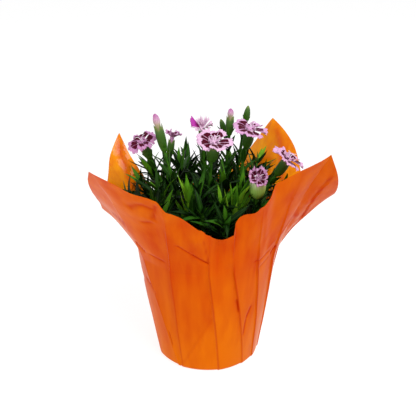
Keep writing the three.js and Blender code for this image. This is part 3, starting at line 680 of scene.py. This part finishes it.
nurseryPot = {
    "rimR": 60, "neckR": 56.6, "baseR": 43, "floorZ": 1.1, "topZ": 106.1, "wall": 1.2, "collar": 11,
    "bulge": 1.5, "roll": 0.5, "sides": 96, "drains": 5, "drainR": 4, "drainRing": 28,
}
soil = {
    "topZ": 97.1, "gap": 0.3, "crown": 2.5, "rough": 1.3, "edge": 0.9, "lip": 1, "sides": 72, "rings": 22,
    "grain": 0.9, "crumbs": 340, "crumbR": (0.5, 1.5),
}


def makePot():
    p = nurseryPot
    low, top, wall, roll = p["floorZ"], p["topZ"], p["wall"], p["roll"]
    baseR, neckR, rimR, bulgeR, neck = p["baseR"], p["neckR"], p["rimR"], p["neckR"] + p["bulge"], top - p["collar"]
    pot = turnedShape("nursery_pot_body", [
        (0, low), (baseR - 1, low), (baseR, low + 0.8), (neckR, neck - 0.6), (neckR + 0.3, neck),
        (bulgeR, neck + 0.6), (rimR - roll, top - 2.4), (rimR, top - 1.8), (rimR, top - 0.5), (rimR - roll, top),
        (rimR - wall + 0.3, top), (rimR - wall, top - 0.4), (bulgeR - wall, neck + 1), (neckR - wall, neck - 0.6),
        (baseR - wall, low + wall + 0.8), (baseR - wall - 0.8, low + wall), (0, low + wall),
    ], p["sides"], 0.01, mapped=False, angle=30)
    for i in range(p["drains"]):
        spot = polar(360 / p["drains"] * i, p["drainRing"], low + wall / 2) * mm
        bpy.ops.mesh.primitive_cylinder_add(vertices=28, radius=p["drainR"] * mm, depth=4 * mm, location=spot)
        drill = bpy.context.object
        applyModifier(pot, "BOOLEAN", object=drill, operation="DIFFERENCE", solver="EXACT")
        removeAll(drill)
    smooth(pot, 30)
    wear(pot, speckled("potPlastic", 60, (34, 34, 36), (48, 47, 47), 900, Roughness=0.55))
    finished(joined(pot.name, [pot]), "nursery_pot")


def soilRadius(z):
    p = nurseryPot
    neck, wall = p["topZ"] - p["collar"], p["wall"] + soil["edge"]
    if z < neck:
        return mix(p["baseR"], p["neckR"], (z - p["floorZ"]) / (neck - p["floorZ"])) - wall
    return mix(p["neckR"] + p["bulge"], p["rimR"], (z - neck) / p["collar"]) - wall


def makeSoil():
    low, top = nurseryPot["floorZ"] + nurseryPot["wall"] + soil["gap"], soil["topZ"]
    edge = soilRadius(top - soil["lip"])

    def lumpy(x, y, z):
        if z < top - 0.5:
            return x, y, z
        out = hypot(x, y) / edge
        lump = sin(x * 0.37 + 1.3) * cos(y * 0.31 - 0.4) + 0.6 * sin((x + y) * 0.53)
        grain = noise.noise(Vector((x, y, 3)) * 0.35) + 0.7 * noise.noise(Vector((x, y, 9)) * 0.9)
        rise = soil["crown"] * (1 - out * out) + soil["rough"] * lump * (1 - out**6) + soil["grain"] * grain
        return x, y, z + rise

    profile = [(0, low), (soilRadius(low), low), (edge, top - soil["lip"])]
    profile += [(edge * i / soil["rings"], top) for i in range(soil["rings"] - 1, -1, -1)]
    parts = [turnedShape("soil", profile, soil["sides"], 0.01, lumpy, mapped=False, angle=60)]
    bpy.ops.mesh.primitive_uv_sphere_add(segments=8, ring_count=5, radius=mm)
    crumb = bpy.context.object
    while len(parts) <= soil["crumbs"]:
        spot = polar(uniform(0, 360), edge * 0.96 * sqrt(random()), top)
        size = mix(*soil["crumbR"], random() ** 2)
        spot.z = lumpy(*spot)[2] + size * 0.3
        seed = Vector((random(), random(), random())) * 99
        flat = uniform(0.5, 0.9)
        turn = Quaternion(seed.normalized(), uniform(0, 6.28))

        def crumbled(x, y, z):
            bump = 1 + 0.55 * noise.noise(Vector((x, y, z)) * 1.3 + seed)
            return spot + turn @ Vector((x, y, z * flat)) * size * bump

        parts.append(moved(copyOf(crumb, "crumb"), crumbled))
        smooth(parts[-1], 60)
    removeAll(crumb)
    material, tree = newMaterial("pottingSoil", Roughness=0.95, Specular_IOR_Level=0.2)
    colour = paintRamp(tree, objectNoise(tree, 320, 4), (0.3, 12, 9, 8), (0.55, 36, 27, 21), (0.72, 66, 50, 38))
    coloured(material, colour, objectNoise(tree, 1400, 3), 0.6, 0.001)
    for part in parts:
        wear(part, material)
    finished(joined("soil_heap", parts), "soil")


makePot()
makeSoil()
print("nursery pot and soil")


# leaves, shoots and stems

leafShape = {
    "sections": 7, "sides": 6, "lens": 0.08,  # a lens-shaped strip, before it is bent
    "foot": 0.3, "swell": 0.8, "taper": 6, "channel": 0.25,  # outline and cross-section
    "keel": 0.55, "keelTaper": 0.55,
}
shootShape = {
    "r": 1.15, "topR": 0.5, "sides": 10, "tipLength": 13, "tipHalf": 1.9, "height": 80,
    "morePairs": 13, "moreFrom": (0.2, 0.97), "moreLength": (20, 40), "moreHalf": (0.085, 0.11), "mostHalf": 3.6,
    "moreOpen": (18, 52), "moreBend": (-20, 75), "full": 65,  # shoots below full height have shorter leaves
}
youngLeaf = {"open": 0.36, "bend": 0.2, "length": 1.35, "light": 1.2}  # upright and pale, as shares of the others
youngShoots = ("leafy_shoot_01", "leafy_shoot_02")


def bladeWidth(t):
    foot, taper = leafShape["foot"], leafShape["taper"]
    return (foot + (1 - foot) * sin(pi * t ** leafShape["swell"])) * (1 - t**taper)


def makeLeafTemplate():  # a strip one unit long with its edges at x -1 and 1, closed to a point
    bpy.ops.mesh.primitive_circle_add(
        vertices=leafShape["sides"], radius=mm, fill_type="NGON", rotation=(pi / 2, 0, 0),
    )
    leaf = bpy.context.object
    bpy.ops.object.transform_apply(rotation=True)
    editAll(leaf)
    bpy.ops.transform.resize(value=(1, 1, leafShape["lens"]))
    for i in range(leafShape["sections"]):
        bpy.ops.mesh.extrude_region_move(TRANSFORM_OT_translate={"value": (0, mm / leafShape["sections"], 0)})
    bpy.ops.mesh.merge(type="CENTER")
    leaveEdit()
    closeSeams(leaf, 0.0001)
    drawMap(leaf, lambda x, y, z: (0.5 + x / 2, y))
    smooth(leaf, 60)
    return leaf


def bentLeaf(spotAt, half, tone):
    # spotAt(t) gives the midrib's place and the way the upper face looks; half is the widest half width
    leaf = copyOf(leafTemplate, "leaf")
    keel, lens = leafShape["keel"], leafShape["lens"]

    def bend(x, y, z):
        y = clamped(y)
        middle, face, across = spotAt(y)
        wide = half * bladeWidth(min(y, 0.985))
        raised = leafShape["channel"] * wide * x * x + z * wide
        if z < 0:
            raised += z / lens * keel * (1 - abs(x)) * (1 - leafShape["keelTaper"] * y)
        return middle + across * (x * wide) + face * raised

    return dressed(moved(leaf, bend), tone, foliage)


def arcThrough(one, two, tip, face):
    # the midrib's circle, from its places at a third and two thirds of its length and its tip
    first, last = two - one, tip - two
    along = first.normalized()
    bend = max(first.angle(last, 0), 0.002)
    inward = last - along * last.dot(along)
    inward = inward.normalized() if inward.length > 0.01 else -face
    r = first.length / (2 * sin(bend / 2))
    centre = (one + two) / 2 + inward * (r * cos(bend / 2))
    hand = 1 if face.dot(-inward) > 0 else -1

    def spotAt(t):
        turned = 3 * bend * (t - 0.5)
        outward = along * sin(turned) - inward * cos(turned)
        heading = along * cos(turned) + inward * sin(turned)
        return centre + outward * r, outward * hand, heading.cross(outward * hand)

    return spotAt


def leavesOf(node):
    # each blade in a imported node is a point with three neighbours, behind which lie two rings of three
    corners, near = {}, {}
    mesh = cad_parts[node].data
    index = [corners.setdefault(tuple(round(value, 6) for value in v.co), len(corners)) for v in mesh.vertices]
    places = [Vector(key) / mm for key in corners]
    for face in mesh.polygons:
        ring = [index[i] for i in face.vertices]
        for a, b in zip(ring, ring[1:] + ring[:1]):
            near.setdefault(a, set()).add(b)
            near.setdefault(b, set()).add(a)
    found = []
    for tip, ringA in near.items():
        ringA = sorted(ringA)
        if len(ringA) != 3 or any(b not in near[a] for a in ringA for b in ringA if a != b):
            continue
        ringB = sorted(set().union(*(near[a] for a in ringA)) - set(ringA) - {tip})
        middle = sum((places[a] for a in ringA), Vector()) / 3
        if len(ringB) != 3 or (places[tip] - middle).length < 4:
            continue
        (two, face, _), (one, _, half) = [bladeSection([places[i] for i in ring]) for ring in (ringA, ringB)]
        found.append((arcThrough(one, two, places[tip], face), half / bladeWidth(1 / 3)))
    return found, places


def bladeSection(ring):  # the midrib's place, the upper face's direction and the half width at a ring
    pairs = [(0, 1, 2), (1, 2, 0), (2, 0, 1)]
    a, b, keel = max(pairs, key=lambda pair: (ring[pair[0]] - ring[pair[1]]).length)
    between = (ring[a] + ring[b]) / 2
    face = (between - ring[keel]).normalized()
    half = (ring[a] - ring[b]).length / 2
    return between - face * (leafShape["channel"] * half), face, half


def tubeAlong(name, path, radii, sides):  # a bevelled curve through the points, made a mesh
    bpy.ops.curve.primitive_bezier_curve_add()
    obj = bpy.context.object
    obj.name = name
    line = obj.data
    line.bevel_depth, line.bevel_resolution = mm, max(0, sides // 4 - 1)
    line.resolution_u = 5
    line.use_fill_caps = True
    points = line.splines[0].bezier_points
    points.add(len(path) - 2)
    for point, spot, r in zip(points, path, radii):
        point.co = Vector(spot) * mm
        point.handle_left_type = point.handle_right_type = "AUTO"
        point.radius = r
    pick(obj)
    bpy.ops.object.convert(target="MESH")
    obj = bpy.context.object
    closeSeams(obj)
    smooth(obj, 60)
    return obj


def risingArc(start, axis, side, length, opened, bend):
    # a midrib that leaves its stem at an angle from the stem's axis and turns by bend on its way
    opened, bend = radians(opened), radians(bend)

    def spotAt(t):
        turned = opened + bend * t
        out = length / bend * (cos(opened) - cos(turned))
        rise = length / bend * (sin(turned) - sin(opened))
        face = axis * sin(turned) - side * cos(turned)
        heading = axis * cos(turned) + side * sin(turned)
        return start + side * out + axis * rise, face, heading.cross(face)

    return spotAt


def turnedSide(axis, azimuth, turn):  # square to an axis, towards an azimuth, then turned round the axis
    side = polar(azimuth, 1, 0)
    side = (side - axis * side.dot(axis)).normalized()
    return Quaternion(axis, radians(turn)) @ side


def partWay(path, share):  # the place and the direction at a share of a path
    i = int(share)
    return path[i].lerp(path[i + 1], share - i), (path[i + 1] - path[i]).normalized()


def insideCover(spot, room=3):  # whether a point stays clear of the sheet round the plant
    edgeR, edgeZ = coverEdge(degrees(atan2(spot.y, spot.x)))[1:]
    share = clamped((spot.z - cover["rimZ"]) / (edgeZ - cover["rimZ"]))
    wall = mix(nurseryPot["neckR"], edgeR, share) if spot.z < edgeZ + room else inf
    return hypot(spot.x, spot.y) < wall - room and spot.z > soil["topZ"] + 2


def liftOf(spot):  # 0 on the soil to 1 at the top of the leaves
    return clamped((spot.z - soil["topZ"]) / shootShape["height"])


def moreLeaves(path, azimuth, tone, young):  # side leaves between a shoot's main pairs
    parts, s = [], shootShape
    low = min((path[-1].z - path[0].z) / s["full"], 1)
    for k in range(s["morePairs"]):
        start, axis = partWay(path, mix(*s["moreFrom"], (k + random()) / s["morePairs"]) * (len(path) - 2))
        turn = azimuth + 90 * k + 45 + uniform(-25, 25)
        for hand in (0, 180):
            length = uniform(*s["moreLength"]) * (1 - 0.3 * k / s["morePairs"]) * low
            opened, bend = uniform(*s["moreOpen"]), uniform(*s["moreBend"])
            if young:
                opened, bend = opened * youngLeaf["open"], bend * youngLeaf["bend"]
                length *= youngLeaf["length"]
            arc = risingArc(start, axis, turnedSide(axis, 0, turn + hand), length, opened, bend)
            half = min(length * uniform(*s["moreHalf"]), s["mostHalf"])
            if insideCover(arc(0.5)[0]) and insideCover(arc(1)[0]):
                # painted light and shade: each leaf's own random tone, with a few painted light as if lit, and
                # painted darker towards the soil
                lit = tone * uniform(0.1, 1.1) + 0.75 * random() ** 4
                lit *= youngLeaf["light"] if young else mix(0.3, 1, liftOf(start))
                parts.append(bentLeaf(arc, half, lit))
    return parts


def makeShoot(node):
    blades, places = leavesOf(node)
    young = node in youngShoots
    foot = sum(sorted(places, key=lambda place: place.z)[:3], Vector()) / 3
    path = [foot] + sorted((spotAt(0)[0] for spotAt, half in blades), key=lambda place: place.z)[::2]
    axis = (path[-1] - path[-2]).normalized()
    path.append(path[-1] + axis * 2)
    radii = [shootShape["r"]] * (len(path) - 1) + [shootShape["topR"]]
    parts = [wear(tubeAlong("shoot", path, radii, shootShape["sides"]), stemGreen)]
    for spotAt, half in blades:
        lift = liftOf(spotAt(0)[0])
        # each leaf's own random tone, with painted shade darkening the leaves low on the shoot
        tone = 0.6 + 0.3 * random() if young else 0.26 * lift + mix(0.2, 0.85, lift) * random() ** 3
        parts.append(bentLeaf(spotAt, half, tone))
    parts += moreLeaves(path, uniform(0, 90), 0.6 if young else 0.25, young)
    top = path[-1] - axis * 3
    for pair in range(2):
        turn = uniform(0, 40) + 90 * pair
        for hand in (0, 180):
            length = shootShape["tipLength"] * (1 - 0.3 * pair) * uniform(0.8, 1.1)
            arc = risingArc(top, axis, turnedSide(axis, 0, turn + hand), length, 16, 12 - 8 * pair)
            parts.append(bentLeaf(arc, shootShape["tipHalf"], 0.35 + 0.25 * random()))
    finished(joined(node.replace("leafy_", ""), parts), node)


foliage = leafLook()
stemGreen = speckled("stemGreen", 140, (34, 82, 16), (66, 118, 28), Roughness=0.5, Specular_IOR_Level=0.12)
leafTemplate = makeLeafTemplate()
for node in sorted(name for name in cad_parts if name.startswith("leafy_shoot")):
    makeShoot(node)
print("shoots: stems with their leaf pairs")


# flower stems, calyces, blooms and buds

stemShape = {
    "r": 1.5, "knot": 2.1, "sides": 12, "rooted": 5, "rise": 0.42, "lean": 0.008, "points": 9,
    "pairs": (0.42, 0.54, 0.66, 0.87),  # where its narrow leaves stand, as shares of its length
    "leafLength": (34, 20), "leafHalf": 2.6, "leafOpen": 16, "leafBend": (-8, 34),
}
calyxShape = {"length": 18, "seat": 0.4, "socket": 0.71, "tooth": 0.18, "sides": 30}
scaleLeaf = {"length": 10, "half": 0.6, "open": 46, "bend": -30}
petalShape = {
    "acrossCells": 18, "outCells": 12, "thick": 0.35, "foot": 1.2, "round": 0.1, "twist": 1.3,
    "teeth": 0.16, "waist": 0.6, "wave": 1.1, "fan": 38,
    "innerFan": 30, "innerPetals": 5, "innerReach": (0.34, 0.52),
}
usualBloom = {"wave": 1, "crumpled": 0, "stands": None, "pale": 0.1}  # unless a bloom says otherwise
# Each bloom has the middle and the direction of its face, its radius, how far it is open, how its rim droops, its
# calyx's radius (cup), its root on the soil and how dark it is (dusk). hangs is its calyx's direction if that
# differs, crumpled how tall its inner petals stand, and stands the azimuth of a petal that stands rolled up.
# dusk is partly a bloom's own mauve and partly painted shade for blooms in less light, set lower for a bloom in
# shade
blooms = [
    {"name": "left", "at": (-57, -5, 208), "faces": (-0.3, -0.34, 0.89), "r": 15.8, "open": 0.85,
     "droop": 0.9, "cup": 4.2, "root": (-17, -3), "dusk": 0.7, "wave": 1.6},
    {"name": "left_back", "at": (-33, 25, 203), "faces": (0.15, 0.1, 0.98), "r": 12, "open": 0.5,
     "droop": 0.3, "cup": 3.2, "root": (-12, 14), "dusk": 0.6},
    {"name": "top", "at": (-5, 14, 215), "faces": (-0.05, -0.15, 0.98), "r": 14, "open": 0.6,
     "droop": 0.3, "cup": 3.8, "root": (-4, 8), "dusk": 0.0, "wave": 1.6, "stands": 186, "crumpled": 1},
    {"name": "middle", "at": (5, -25, 214), "faces": (0.1, -0.3, 0.95), "r": 17.5, "open": 0.9,
     "droop": 0.4, "cup": 5.6, "root": (3, -13), "dusk": 0.2},
    {"name": "right_back", "at": (37, 3, 218), "faces": (0.16, -0.16, 0.97), "r": 17, "open": 1,
     "droop": 0.7, "cup": 4.8, "root": (14, 2), "dusk": 0.45},
    {"name": "right", "at": (70, -8, 194), "faces": (0.52, -0.1, 0.85), "r": 16.5, "open": 0.95,
     "droop": 0.6, "cup": 4.6, "root": (24, -7), "dusk": 0.35},
    {"name": "right_front", "at": (42, -42, 188), "faces": (0, -0.75, 0.66), "r": 12.4, "open": 0.6,
     "droop": 0, "cup": 7, "root": (20, -24), "dusk": 0.4, "wave": 2.4, "hangs": (0.02, -0.26, 0.96), "pale": 1.0},
]
buds = [  # foot and tip of the calyx, how far petals show beyond it, its radius and its root
    {"name": "left", "foot": (-37.5, -14, 203), "tip": (-43, -14, 227), "shows": 9.5, "r": 4.0, "root": (-9, -12)},
    {"name": "back", "foot": (19, 17, 208.5), "tip": (20, 17, 226.5), "shows": 6.5, "r": 3.6, "root": (6, 17)},
    {"name": "small", "foot": (15, 27, 208), "tip": (11.5, 27, 221), "shows": 0, "r": 2.8, "root": (0, 27)},
    {"name": "high", "foot": (34, 29, 217), "tip": (36.5, 29, 233), "shows": 0, "r": 3.1, "root": (17, 24)},
]


def stemPath(root, head, way):  # from the soil up and over to a head, arriving the way the head points
    foot = Vector((*root, soil["topZ"] - stemShape["rooted"]))
    rise = (head.z - foot.z) * stemShape["rise"]
    low = foot + Vector((root[0] * stemShape["lean"], root[1] * stemShape["lean"], 1)) * rise
    high = head - way * rise
    shares = [i / (stemShape["points"] - 1) for i in range(stemShape["points"])]
    return [
        foot * (1 - t) ** 3 + low * 3 * t * (1 - t) ** 2 + high * 3 * t * t * (1 - t) + head * t**3 for t in shares
    ]


def toothed(x, y, z):  # a calyx's five teeth, cut down from its rim
    a = atan2(y, x)
    between = 0.5 - 0.5 * sin(5 * a)
    high = clamped((z - 0.6) / 0.4)
    rib = 1 + 0.02 * sin(15 * a) + 0.06 * (1 - between) * high**3
    return x * rib, y * rib, z - calyxShape["tooth"] * between**0.8 * high**2


def ridged(x, y, z):  # five ridges round a closed bud
    rib = 1 + 0.09 * cos(5 * atan2(y, x)) * min(z * 2, 1)
    return x * rib, y * rib, z


def rolled(x, y, z):  # the twisted folds of petals still rolled up
    a, high = atan2(y, x), clamped(z)
    fold = abs(sin(2.5 * a))
    out = hypot(x, y) * (0.94 + 0.16 * (fold - 0.6) * min(high * 5, 1))
    spun = a + high * 0.9
    return out * cos(spun), out * sin(spun), z + 0.05 * sin(3 * a + 1) * high


def placedCopy(template, foot, way, wide, tall, tone, material):
    part = moved(copyOf(template, "part"), lambda x, y, z: (x * wide, y * wide, z * tall))
    return stand(dressed(part, tone, material), foot, way)


def makeStem(name, node, foot, way, root, r, seed, calyx):
    s = stemShape
    seat = foot + way * 0.6
    path = stemPath(root, seat, way)
    parts = [wear(tubeAlong("stem", path, [s["r"]] * len(path), s["sides"]), stemGreen), calyx]
    for spotAt, half in leavesOf(node)[0]:
        parts.append(bentLeaf(spotAt, half, 0.35 + 0.2 * random()))
        joint = spotAt(0)[0]
    parts.append(placedCopy(knotTemplate, joint, (path[5] - path[4]).normalized(), s["knot"], 1, 0.5, stemGreen))
    for k, share in enumerate(s["pairs"]):
        start, axis = partWay(path, share * (len(path) - 1))
        length = mix(*s["leafLength"], share) * uniform(0.85, 1.15)
        for hand in (0, 180):
            side = turnedSide(axis, 0, 40 * seed + 90 * k + hand)
            arc = risingArc(start, axis, side, length, s["leafOpen"], uniform(*s["leafBend"]))
            parts.append(bentLeaf(arc, s["leafHalf"], 0.1 + 0.5 * random() ** 2))
    for pair in range(2):
        for hand in (0, 180):
            side = turnedSide(way, seed * 40, 20 + 90 * pair + hand)
            length = scaleLeaf["length"] * (1 - 0.25 * pair)
            arc = risingArc(seat, way, side, length, scaleLeaf["open"], scaleLeaf["bend"])
            parts.append(bentLeaf(arc, scaleLeaf["half"] * r, 0.5 + 0.15 * random()))
    finished(joined(name, parts), node)


def makePetalTemplate():  # a flat fan, 2 wide and 2 long, with a toothed rim
    cells = petalShape["acrossCells"]
    bpy.ops.mesh.primitive_grid_add(x_subdivisions=cells, y_subdivisions=petalShape["outCells"], size=2 * mm)
    petal = bpy.context.object

    def jagged(x, y, z):
        isTooth = y > 0.99 and round((x + 1) * cells / 2) % 2 == 0
        return x, y - petalShape["teeth"] * isTooth, z

    petal.data.uv_layers[0].name = "blade"
    return moved(petal, jagged)


def bentPetal(turn, reach, fan, tilt, droop, lift, tone, wave, face, back=None, twist=petalShape["twist"]):
    phase = uniform(0, 6.28)
    ruffle = petalShape["wave"] * wave * uniform(0.7, 1.3)
    shorter = uniform(1 - 0.07 * wave, 1.02)
    tilt = radians(tilt)

    def fanned(x, y, z):
        v = (y + 1) / 2
        out = mix(petalShape["foot"], reach * shorter * (1 - petalShape["round"] * x * x), v)
        opened = mix(petalShape["waist"], 1, min(v * 2.2, 1))
        rise = out * sin(tilt) * (1 - droop * v * v) + (twist * x + lift) * v
        rise += ruffle * (sin(x * 5 + phase) + 0.6 * sin(x * 11 + 2 * phase)) * v**2.4
        rise += 0.5 * (x * x - 0.4) * v
        return polar(turn - fan * x * opened, out * cos(tilt), rise)

    return dressed(moved(copyOf(petalTemplate, "petal"), fanned), tone, face, back or petalBack)


def makeBloom(name, r, dusk, droop, cup, wave, crumpled, stands, **flower):
    tilt, parts = mix(76, 12, flower["open"]), []
    for i in range(5):
        turn = 72 * i + uniform(-5, 5) * wave
        lean = tilt + uniform(-6, 8) * wave
        face = petalInner if crumpled else petalFace
        parts.append(bentPetal(turn, r, petalShape["fan"], lean, droop, 0, dusk, wave, face))
    for i in range(petalShape["innerPetals"]):
        turn = 360 / petalShape["innerPetals"] * i + 33 + uniform(-10, 10)
        reach = r * (uniform(*petalShape["innerReach"]) + 0.4 * crumpled)
        lean, fan = tilt + uniform(14, 30) + 12 * crumpled, petalShape["innerFan"]
        parts.append(bentPetal(turn, reach, fan, lean, droop / 2, 0.5, dusk * 0.7, 1.3 * wave, petalInner))
    if stands:
        parts.append(bentPetal(stands, r, 19, 42, 0, 0, 1.0, 0.3, petalBright, petalBright, twist=4))
    bloom = joined("petals", parts)
    applyModifier(bloom, "SOLIDIFY", thickness=petalShape["thick"] * mm, offset=-1, material_offset=1)
    smooth(bloom, 50)
    clawR = cup * calyxShape["socket"] - soil["gap"]
    parts = [bloom, placedCopy(clawTemplate, (0, 0, 0), up, clawR, 1, dusk, petalBack)]
    for hand in (-1, 1):
        lean = 2.6 * hand * mix(0.7, 1, flower["open"])
        path = [(0.5 * hand, 0, 1.5), (0.7 * hand, 0.2, 4.5), (lean, 0.5, 7), (lean * 1.7, 0.2 + hand, 7.6)]
        parts.append(dressed(tubeAlong("style", path, [0.35, 0.3, 0.25, 0.15], 8), 0, styleWhite))
    bloom = stand(joined(f"petals_{name}", parts), flower["at"], Vector(flower["faces"]).normalized())
    finished(bloom, f"bloom_{name}")


def makeFlower(seed, flower):
    name, cup = flower["name"], flower["cup"]
    way = Vector(flower.get("hangs", flower["faces"])).normalized()
    foot = Vector(flower["at"]) - way * (calyxShape["length"] + calyxShape["seat"])
    calyx = placedCopy(calyxTemplate, foot, way, cup, calyxShape["length"], flower["pale"], calyxGreen)
    makeStem(f"stem_{name}", f"flower_stem_{name}", foot, way, flower["root"], cup, seed, calyx)
    makeBloom(**flower)


def makeBud(seed, bud):
    name, r, foot = bud["name"], bud["r"], Vector(bud["foot"])
    way = Vector(bud["tip"]) - foot
    length = way.length
    way.normalize()
    if bud["shows"]:
        calyx = placedCopy(calyxTemplate, foot, way, r, length, 0.12, calyxGreen)
        roll = placedCopy(furledTemplate, foot + way * length, way, r, bud["shows"], 0.5, furledPink)
        finished(joined(f"bud_{name}_petals", [roll]), f"bud_petals_{name}")
    else:
        calyx = placedCopy(closedTemplate, foot, way, r, length, 0.1, calyxGreen)
    makeStem(f"bud_{name}_stem", f"bud_stem_{name}", foot, way, bud["root"], r, seed, calyx)


petalFace, petalInner = petalLook("petalFace", True, 1.0), petalLook("petalInner", True, 0.25)
petalBack = petalLook("petalBack", False, 0.45)
petalBright, furledPink, calyxGreen = brightLook(), furledLook(), calyxLook()
styleWhite = speckled("styleWhite", 400, (236, 226, 234), (250, 246, 250), Roughness=0.5)
petalTemplate = makePetalTemplate()
calyxTemplate = turnedShape("calyx", [  # templates one unit wide and one tall
    (0, 0), (0.5, 0), (0.63, 0.05), (0.8, 0.16), (0.94, 0.3), (1, 0.44), (1.01, 0.6), (0.97, 0.78), (0.92, 0.9),
    (0.9, 1), (0.82, 1), (calyxShape["socket"], 0.9), (calyxShape["socket"], 0.7), (0, 0.7),
], calyxShape["sides"], shape=toothed)
closedTemplate = turnedShape("closedBud", [
    (0, 0), (0.5, 0), (0.72, 0.06), (0.93, 0.2), (1, 0.36), (0.93, 0.54), (0.74, 0.74), (0.48, 0.88), (0.2, 0.97),
    (0, 1),
], 20, shape=ridged)
furledTemplate = turnedShape("furled", [
    (0, -0.5), (0.62, -0.5), (0.64, -0.04), (0.72, 0.08), (0.78, 0.22), (0.79, 0.36), (0.76, 0.52), (0.69, 0.66),
    (0.6, 0.78), (0.46, 0.88), (0.22, 0.97), (0, 1),
], 40, shape=rolled)
knotTemplate = turnedShape("knot", [
    (0, -1.4), (0.6, -1.4), (0.92, -0.7), (1, 0), (0.92, 0.7), (0.6, 1.4), (0, 1.4),
], 12, mapped=False, angle=40)
clawTemplate = turnedShape("claw", [
    (0, -4.5), (0.8, -4.5), (1, 0), (0.9, 1.4), (0.5, 2.2), (0, 2.4),
], 16, mapped=False, angle=40)
for seed, flower in enumerate(blooms):
    makeFlower(seed, {**usualBloom, **flower})
for seed, bud in enumerate(buds, len(blooms)):
    makeBud(seed, bud)
removeAll(petalTemplate, calyxTemplate, closedTemplate, furledTemplate, knotTemplate, clawTemplate, leafTemplate)
print("flowers: stems, calyces, blooms and buds")


# floor, light and camera

view = {"place": (0, -0.600, 0.390), "pitch": 67.75, "lens": 61.36, "sensor": 36}
glow = {"floor": 0.32, "shine": 0.81, "front": (0, -0.93, 0.37)}
lights = [  # name, place, size and power of each disk
    ("keyLight", (0.5, -0.7, 1.3), 1.0, 16),
    ("fillLight", (-0.9, -0.9, 0.7), 1.2, 5),
]


def added(name, data):
    obj = bpy.data.objects.new(name, data)
    bpy.context.collection.objects.link(obj)
    return obj


def makeFloor():  # plain and pale, with a glow of its own so that it stays nearly free of shadow
    bpy.ops.mesh.primitive_plane_add(size=12)
    floor = bpy.context.object
    floor.name = "floor"
    wear(floor, newMaterial(
        "paleFloor", Base_Color=(*[glow["floor"]] * 3, 1), Roughness=1.0, Specular_IOR_Level=0.0,
        Emission_Color=(1, 1, 1, 1), Emission_Strength=glow["shine"],
    )[0])


def makeLight(name, spot, size, power):
    light = bpy.data.lights.new(name, "AREA")
    light.shape = "DISK"
    light.size = size
    light.energy = power
    obj = added(name, light)
    obj.location = spot
    obj.rotation_mode = "QUATERNION"
    obj.rotation_quaternion = (Vector((0, 0, 0.11)) - Vector(spot)).to_track_quat("-Z", "Y")


def makeRoom():  # white all round, but dim on the side where the camera stands
    world = bpy.data.worlds.new("room")
    world.use_nodes = True
    tree = world.node_tree
    way = addNode(tree, "ShaderNodeTexCoord")["Generated"]
    toFront = addNode(tree, "ShaderNodeVectorMath", {0: way, 1: glow["front"]}, operation="DOT_PRODUCT")["Value"]
    stops = [(at, (grey, grey, grey, 1)) for at, grey in ((0.15, 1), (0.45, 0.6), (1, 0.36))]
    sky = ramp(tree, toFront * 0.5 + 0.5, *stops)
    seen = addNode(tree, "ShaderNodeLightPath")["Is Camera Ray"]
    feed(tree.nodes["Background"].inputs["Color"], sky.towards(seen, (1, 1, 1, 1)))
    feed(tree.nodes["Background"].inputs["Strength"], 1.0)
    bpy.context.scene.world = world
    bpy.context.scene.view_settings.view_transform = "Standard"


def makeCamera():
    camera = bpy.data.cameras.new("camera")
    camera.lens = view["lens"]
    camera.sensor_width = view["sensor"]
    obj = added("camera", camera)
    obj.location = view["place"]
    obj.rotation_euler = (radians(view["pitch"]), 0, 0)
    bpy.context.scene.camera = obj


makeFloor()
makeRoom()
for light in lights:
    makeLight(*light)
makeCamera()
print("floor, light and camera set")
